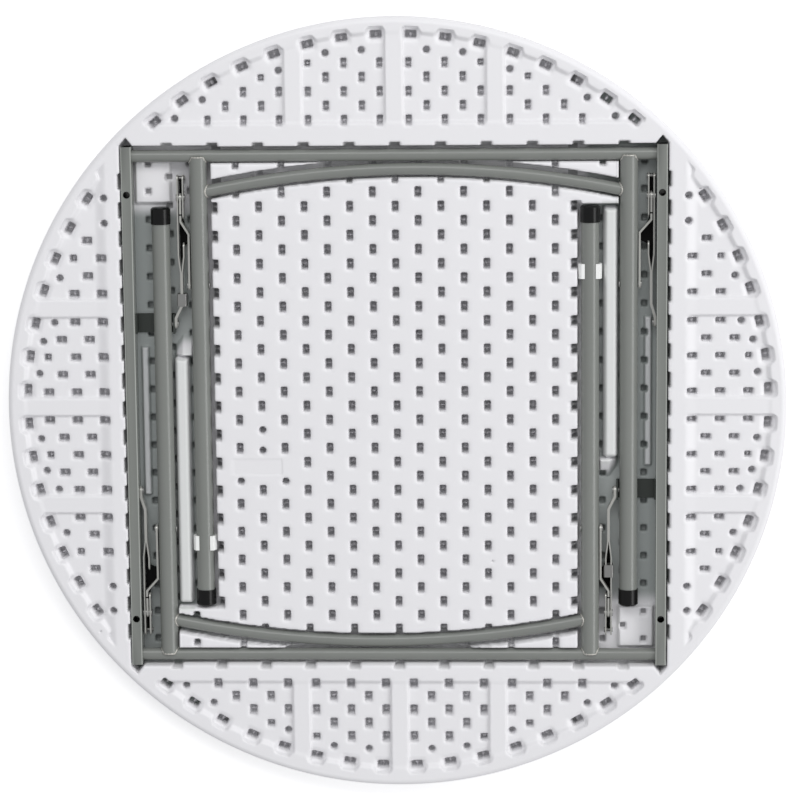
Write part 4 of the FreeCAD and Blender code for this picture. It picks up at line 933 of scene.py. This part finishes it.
def set_values(node, **values):
    """Set a node's sockets by name, with an underscore for each space."""
    for name, value in values.items():
        node.inputs[name.replace("_", " ")].default_value = value


print("node helpers:", [helper.__name__ for helper in (math_node, product, set_values)])

# %% The shared surface group


def build_surface_group():
    """Tone drift and grain from two noises on Object coordinates.

    Colour x (1 + (noise - 0.5) x tone), and roughness + (noise - 0.5) x its own drift.
    """
    tree = bpy.data.node_groups.new("surface_variation", "ShaderNodeTree")
    color, number = "NodeSocketColor", "NodeSocketFloat"
    for name, kind, value in (("Color", color, (0.8, 0.8, 0.8, 1)), ("Tone", number, 0.05),
                              ("Drift Scale", number, 6.0), ("Grain Scale", number, 900.0),
                              ("Roughness", number, 0.4), ("Roughness Drift", number, 0.06)):
        item = tree.interface.new_socket(name=name, in_out="INPUT", socket_type=kind)
        item.default_value = value
    for name, kind in (("Color", color), ("Roughness", number), ("Grain", number)):
        tree.interface.new_socket(name=name, in_out="OUTPUT", socket_type=kind)
    nodes, links = tree.nodes, tree.links
    source, result = nodes.new("NodeGroupInput"), nodes.new("NodeGroupOutput")
    place, tint = nodes.new("ShaderNodeTexCoord"), nodes.new("ShaderNodeVectorMath")
    drift, grain = nodes.new("ShaderNodeTexNoise"), nodes.new("ShaderNodeTexNoise")
    for noise, scale, detail in ((drift, "Drift Scale", 4.0), (grain, "Grain Scale", 2.0)):
        links.new(place.outputs["Object"], noise.inputs["Vector"])
        links.new(source.outputs[scale], noise.inputs["Scale"])
        noise.inputs["Detail"].default_value = detail
    centred = math_node(tree, "SUBTRACT", drift.outputs["Fac"], 0.5)
    tint.operation = "SCALE"
    links.new(source.outputs["Color"], tint.inputs[0])
    links.new(math_node(tree, "MULTIPLY_ADD", centred, source.outputs["Tone"], 1.0), tint.inputs["Scale"])
    rough = math_node(tree, "MULTIPLY_ADD", centred, source.outputs["Roughness Drift"],
                      source.outputs["Roughness"])
    links.new(tint.outputs[0], result.inputs["Color"])
    links.new(rough, result.inputs["Roughness"])
    links.new(grain.outputs["Fac"], result.inputs["Grain"])
    return tree


surface_group = build_surface_group()
print("sockets:", [item.name for item in surface_group.interface.items_tree])

# %% A finish from the group


def make_finish(name, color, roughness, tone=0.06, drift=6.0, grain=900.0, bump=0.1, bump_mm=0.05,
                metallic=0.0, specular=0.5):
    """A material: one Principled BSDF fed by the surface group, its constants set on its own sockets."""
    material = bpy.data.materials.new(name)
    material.use_nodes = True
    nodes, links = material.node_tree.nodes, material.node_tree.links
    shader = nodes["Principled BSDF"]
    group, relief = nodes.new("ShaderNodeGroup"), nodes.new("ShaderNodeBump")
    group.node_tree = surface_group
    set_values(group, Color=(*color, 1), Tone=tone, Drift_Scale=drift, Grain_Scale=grain, Roughness=roughness)
    set_values(relief, Strength=bump, Distance=bump_mm * MM)
    set_values(shader, Metallic=metallic, Specular_IOR_Level=specular)
    links.new(group.outputs["Color"], shader.inputs["Base Color"])
    links.new(group.outputs["Roughness"], shader.inputs["Roughness"])
    links.new(group.outputs["Grain"], relief.inputs["Height"])
    links.new(relief.outputs["Normal"], shader.inputs["Normal"])
    return material


print("made by:", make_finish.__name__)

# %% [markdown]
# ## The finishes of this table
#
# The moulding is polyethylene: nearly white, a little cool, with a soft sheen and the very fine grain of
# its mould. The frame is powder coated in a greenish grey, which is a paint and not bare metal, so it has
# no metallic part. The brace bars and the weld beads are brighter, with metal showing through, so they are
# half metal, and the lock rings, rivets and screws are zinc plated. Caps are black plastic, the clips a
# brighter white, and the webs and bands black: the webs are black sheets that paint the deep shade under
# the forks' bars. Rails and rim have copies of their own, because the next step paints a highlight and
# shade on the rails' paint, and shade on the tiles' plastic, by place; the rim's copy stays unshaded.
# the rails' paint and the tiles' plastic by place.

# %% Materials
POLYETHYLENE = dict(color=(0.80, 0.795, 0.81), roughness=0.42, tone=0.03, drift=3.0, grain=700.0,
                    bump=0.12, specular=0.45)
PAINT = dict(color=(0.203, 0.213, 0.198), roughness=0.24, tone=0.12, drift=9.0, grain=1600.0,
             bump=0.25, bump_mm=0.06)
BLACK = dict(color=(0.004, 0.004, 0.004), tone=0.2, drift=20.0, bump=0.15)
plastic = make_finish("moulded_plastic", **POLYETHYLENE)
shell = make_finish("moulded_plastic_shell", **POLYETHYLENE)
coated = make_finish("coated_steel", **PAINT)
rail_paint_and_light = make_finish("rail_paint_and_light", **PAINT)
brace = make_finish("brace_steel", (0.46, 0.46, 0.43), 0.34, tone=0.15, drift=20.0, grain=1800.0,
                    bump=0.2, metallic=0.5)
weld = make_finish("weld_bead", (0.50, 0.49, 0.45), 0.3, tone=0.3, drift=160.0, grain=1800.0,
                   bump=0.3, bump_mm=0.08, metallic=0.5)
strap = make_finish("dark_strap", (0.035, 0.042, 0.036), 0.45, tone=0.2, drift=20.0, bump=0.2)
zinc = make_finish("zinc_plate", (0.30, 0.30, 0.29), 0.38, tone=0.15, drift=30.0, bump=0.15, metallic=0.8)
cap_black = make_finish("cap_black", roughness=0.24, specular=0.25, **BLACK)
# The webs' near-black is painted shade under the forks' bars; the bands use the same black.
shade_web_and_band_black = make_finish("shade_web_and_band_black", roughness=0.6, specular=0.12, **BLACK)
clip_white = make_finish("clip_white", (0.86, 0.87, 0.85), 0.35, tone=0.03, drift=20.0, bump=0.1)
print("materials, the CAD model's own included:", len(bpy.data.materials))

# %% [markdown]
# ## Painted shade and highlights that follow the place
#
# The bays' floor is painted darker where shade falls on it between the tubes and beside the rail, with a
# little green, and its pits are painted darker still for the shade inside them. A rail gets a painted
# highlight on its long top edges and painted shade, nearly black, down in its channel. Faces could be
# given materials of their own, with a hard line between them. A mask from Object coordinates fades as
# softly as the shade does, and it needs no extra faces.

# %% Masks by place


def object_place(tree):
    """The x, y and z sockets of Object coordinates."""
    place, split = tree.nodes.new("ShaderNodeTexCoord"), tree.nodes.new("ShaderNodeSeparateXYZ")
    tree.links.new(place.outputs["Object"], split.inputs[0])
    return split.outputs["X"], split.outputs["Y"], split.outputs["Z"]


def ramp_node(tree, value, start, end, falling=False):
    """A Map Range that goes from 0 to 1 between two places in millimetres, or from 1 to 0."""
    node = tree.nodes.new("ShaderNodeMapRange")
    node.interpolation_type = "SMOOTHSTEP"
    set_values(node, From_Min=start * MM, From_Max=end * MM)
    if falling:
        set_values(node, To_Min=1.0, To_Max=0.0)
    tree.links.new(value, node.inputs["Value"])
    return node.outputs["Result"]


def band_node(tree, value, rise, fall):
    """A share that rises between one pair of places and falls between another: one ramp x the other."""
    return product(tree, ramp_node(tree, value, *rise), ramp_node(tree, value, *fall, falling=True))


def tint_where(tree, share, tint):
    """Multiply the material's colour by a tint, by as much as a socket's share of it."""
    base = tree.nodes["Principled BSDF"].inputs["Base Color"]
    mix = tree.nodes.new("ShaderNodeMix")
    mix.data_type, mix.blend_type = "RGBA", "MULTIPLY"
    tree.links.new(base.links[0].from_socket, mix.inputs[6])
    tree.links.new(share, mix.inputs["Factor"])
    mix.inputs[7].default_value = (*tint, 1)
    tree.links.new(mix.outputs[2], base)


print("mask helpers:", [helper.__name__ for helper in (object_place, ramp_node, band_node, tint_where)])

# %% Painted shade on the bays' floor, pits and ridges
# Each pair of numbers is where a share starts to change and where it has changed
# The tints are painted shade: the bays' floor where shade falls, a little more beyond the outer leg, the pits
# darker still, and the ridge's top between the legs only just darker.
FLOOR_SHADE_TINT, FLOOR_START, FLOOR_TOP = (0.56, 0.60, 0.575), (INNER_LEG - 12, INNER_LEG + 2), (10, 22)
STRIP_SHADE_TINT, STRIP_START = (0.84, 0.85, 0.85), (OUTER_LEG + 6, OUTER_LEG + 16)
PIT_SHADE_TINT, PIT_START, PIT_TOP = (0.5, 0.5, 0.5), (BAY_INNER - 14, BAY_INNER - 13), (3, 8)
CUT_LIMIT, CUT_TOP = (BAY_INNER, BAY_INNER + 2), (10, 18)
RIDGE_SHADE_TINT, RIDGE_START, RIDGE_LIMIT = (
    (0.86, 0.88, 0.85), (INNER_LEG + 16, INNER_LEG + 20), (RAIL_INNER - 20, RAIL_INNER - 12))
RIDGE_FOOT, RIDGE_FADE = (22, 34), (322, 328)
BAY_LIMIT, FOOT_FADE = (BAY_OUTER + 4, BAY_OUTER + 6), (296, 320)


def paint_bay_shade(material):
    """Paint shade on the underside where it lies in shade: the bays' floor, and its pits still more.

    Each share is a band of the distance from the table's middle x a ramp of the height. The floor's
    fades towards the end of the bay, past the foot, and is a little stronger beyond the outer leg. The
    pits of the panel's edge count as the floor's do, and the ridge's top between the legs gets only a
    little painted shade.
    """
    tree = material.node_tree
    x, y, z = object_place(tree)
    far = math_node(tree, "ABSOLUTE", x)
    along = product(tree, math_node(tree, "SIGN", x), y, -1.0)
    floor_shade_share = product(
        tree, band_node(tree, far, FLOOR_START, BAY_LIMIT),
        ramp_node(tree, along, *FOOT_FADE, falling=True), ramp_node(tree, z, *FLOOR_TOP, falling=True))
    tint_where(tree, floor_shade_share, FLOOR_SHADE_TINT)
    tint_where(tree, product(tree, floor_shade_share, ramp_node(tree, far, *STRIP_START)), STRIP_SHADE_TINT)
    for limit, top in ((BAY_LIMIT, PIT_TOP), (CUT_LIMIT, CUT_TOP)):
        share = product(tree, band_node(tree, far, PIT_START, limit), ramp_node(tree, z, *top, falling=True))
        tint_where(tree, share, PIT_SHADE_TINT)
    ridge_shade_share = product(
        tree, band_node(tree, far, RIDGE_START, RIDGE_LIMIT), ramp_node(tree, z, *RIDGE_FOOT),
        ramp_node(tree, math_node(tree, "ABSOLUTE", y), *RIDGE_FADE, falling=True))
    tint_where(tree, ridge_shade_share, RIDGE_SHADE_TINT)


# Painted shade goes onto the tiles' plastic only; the rim's copy stays unshaded.
paint_bay_shade(plastic)
print("nodes in the plastic:", len(plastic.node_tree.nodes))

# %% Painted highlight on the rail edges, painted shade in the channel
RAIL_TOP = rail_high[2]
# The edge tint is a painted highlight on the rail's top edges, the dark tint painted shade in its channel.
EDGE_HIGHLIGHT_TINT, EDGE_SIDE, EDGE_FOOT = (1.9, 1.9, 1.9), (6.2, 7.0), (RAIL_TOP - 3, RAIL_TOP - 2)
CHANNEL_SHADE_TINT, DARK_SIDE, DARK_TOP = (0.06, 0.06, 0.06), (6.2, 6.5), (RAIL_TOP - 2.6, RAIL_TOP - 2.2)


def paint_rail_light_and_shade(material):
    """Painted highlight on a rail's long top edges, and painted shade, nearly black, in its channel.

    Both are bands of the distance from the rail's middle line, above and below a height.
    """
    tree = material.node_tree
    x, _, z = object_place(tree)
    far = math_node(tree, "ABSOLUTE", x)
    off = math_node(tree, "ABSOLUTE", math_node(tree, "SUBTRACT", far, SLOT_MIDDLE * MM))
    edge = product(tree, ramp_node(tree, off, *EDGE_SIDE), ramp_node(tree, z, *EDGE_FOOT))
    tint_where(tree, edge, EDGE_HIGHLIGHT_TINT)
    channel = product(tree, ramp_node(tree, off, *DARK_SIDE, falling=True),
                      ramp_node(tree, z, *DARK_TOP, falling=True))
    tint_where(tree, channel, CHANNEL_SHADE_TINT)


paint_rail_light_and_shade(rail_paint_and_light)
print("nodes in the rail paint:", len(rail_paint_and_light.node_tree.nodes))

# %% [markdown]
# ## Dressing every piece
#
# The CAD model already says which finish each node has, by the name of its slot. So one table from
# slot to material dresses all the nodes, and only the pieces made here are named one by one.

# %% A material for each slot and piece
BY_SLOT = {"moulding": plastic, "frame_steel": coated, "brace_steel": brace, "bracket_steel": strap,
           "ring_steel": zinc, "fastener": zinc, "foot_cap": cap_black, "clip": clip_white}
slot_of = {part["node"]: part["material_slot"] for part in frame["record"]["subparts"]}


def dress(item, material):
    """Give a whole object one material."""
    item.data.materials.clear()
    item.data.materials.append(material)


for name, item in frame["nodes"].items():
    dress(item, BY_SLOT[slot_of[name]])
for pieces, material in ((tiles, plastic), ([rim], shell), (rails, rail_paint_and_light), (welds, weld),
                         (shade_webs + bands, shade_web_and_band_black)):
    for piece in pieces:
        dress(piece, material)
print("finishes by slot:", len(set(BY_SLOT.values())))

# %% [markdown]
# ## Floor and light
#
# The floor is pale and shows white to the camera, and it still takes the table's soft shadow. Light is
# a broad even sky and two long strip lamps, one on the right and one above, as soft boxes in a studio
# would be. They put the highlights on the right and upper sides of the tubes, and a bright lip on the
# lower left of each dimple. One large lamp would be simpler, but it would wash these lips out.

# %% Floor
FLOOR_GAP, FLOOR_GLOW = 0.0005, 0.35
bpy.ops.mesh.primitive_plane_add(size=14, location=(0, 0, -FLOOR_GAP))
floor = bpy.context.object
floor.name = "floor"
floor_finish = bpy.data.materials.new("floor_white")
floor_finish.use_nodes = True
floor_tree = floor_finish.node_tree
floor_shader = floor_tree.nodes["Principled BSDF"]
set_values(floor_shader, Base_Color=(0.92, 0.92, 0.92, 1), Roughness=0.9, Emission_Color=(1, 1, 1, 1))
camera_ray = floor_tree.nodes.new("ShaderNodeLightPath").outputs["Is Camera Ray"]
floor_tree.links.new(product(floor_tree, camera_ray, FLOOR_GLOW), floor_shader.inputs["Emission Strength"])
dress(floor, floor_finish)
print("floor below the table, in mm:", FLOOR_GAP / MM)

# %% Light
world = bpy.data.worlds.new("soft_sky")
world.use_nodes = True
set_values(world.node_tree.nodes["Background"], Color=(0.97, 0.975, 1.0, 1), Strength=0.54)
bpy.context.scene.world = world


def add_strip(name, place, turn, size, watts):
    """A long area lamp of a size along X and Y, turned about the axes by three angles in degrees."""
    data = bpy.data.lights.new(name, "AREA")
    data.shape = "RECTANGLE"
    data.size, data.size_y, data.energy = *size, watts
    lamp = add_object(name, data)
    lamp.location = place
    lamp.rotation_euler = [math.radians(angle) for angle in turn]


add_strip("right_strip", (6.4, 0.3, 4.6), (0, 54, 0), (3.2, 8.6), 275)
add_strip("upper_strip", (0.5, 5.3, 6.1), (-41, 0, 0), (8.6, 3.0), 245)
print("lamps:", len(bpy.data.lights))

# %% [markdown]
# ## Camera
#
# The table is seen from almost straight above, through a long lens. Place and angles were fitted to known
# points of the frame, which is surer than turning the camera by eye. The order ZYX puts the roll first,
# so it turns the picture alone.

# %% Camera
from mathutils import Euler

camera_data = bpy.data.cameras.new("camera")
camera_data.sensor_width = 36.0
camera_data.lens = 144.0
camera = add_object("camera", camera_data)
camera.rotation_mode = "ZYX"
camera.location = (0.2223, 0.8504, 4.970)
camera.rotation_euler = Euler([math.radians(value) for value in (-9.632, 2.466, -0.14)], "ZYX")
bpy.context.scene.camera = camera
bpy.context.scene.view_settings.view_transform = "Standard"
print(f"camera {camera.location.length:.2f} m from the table's middle")

# %% [markdown]
# ## The last line
#
# Blender must not change the table's size. This last step only brings the view layer up to date.

# %% Bring the view layer up to date
import json

bpy.context.view_layer.update()
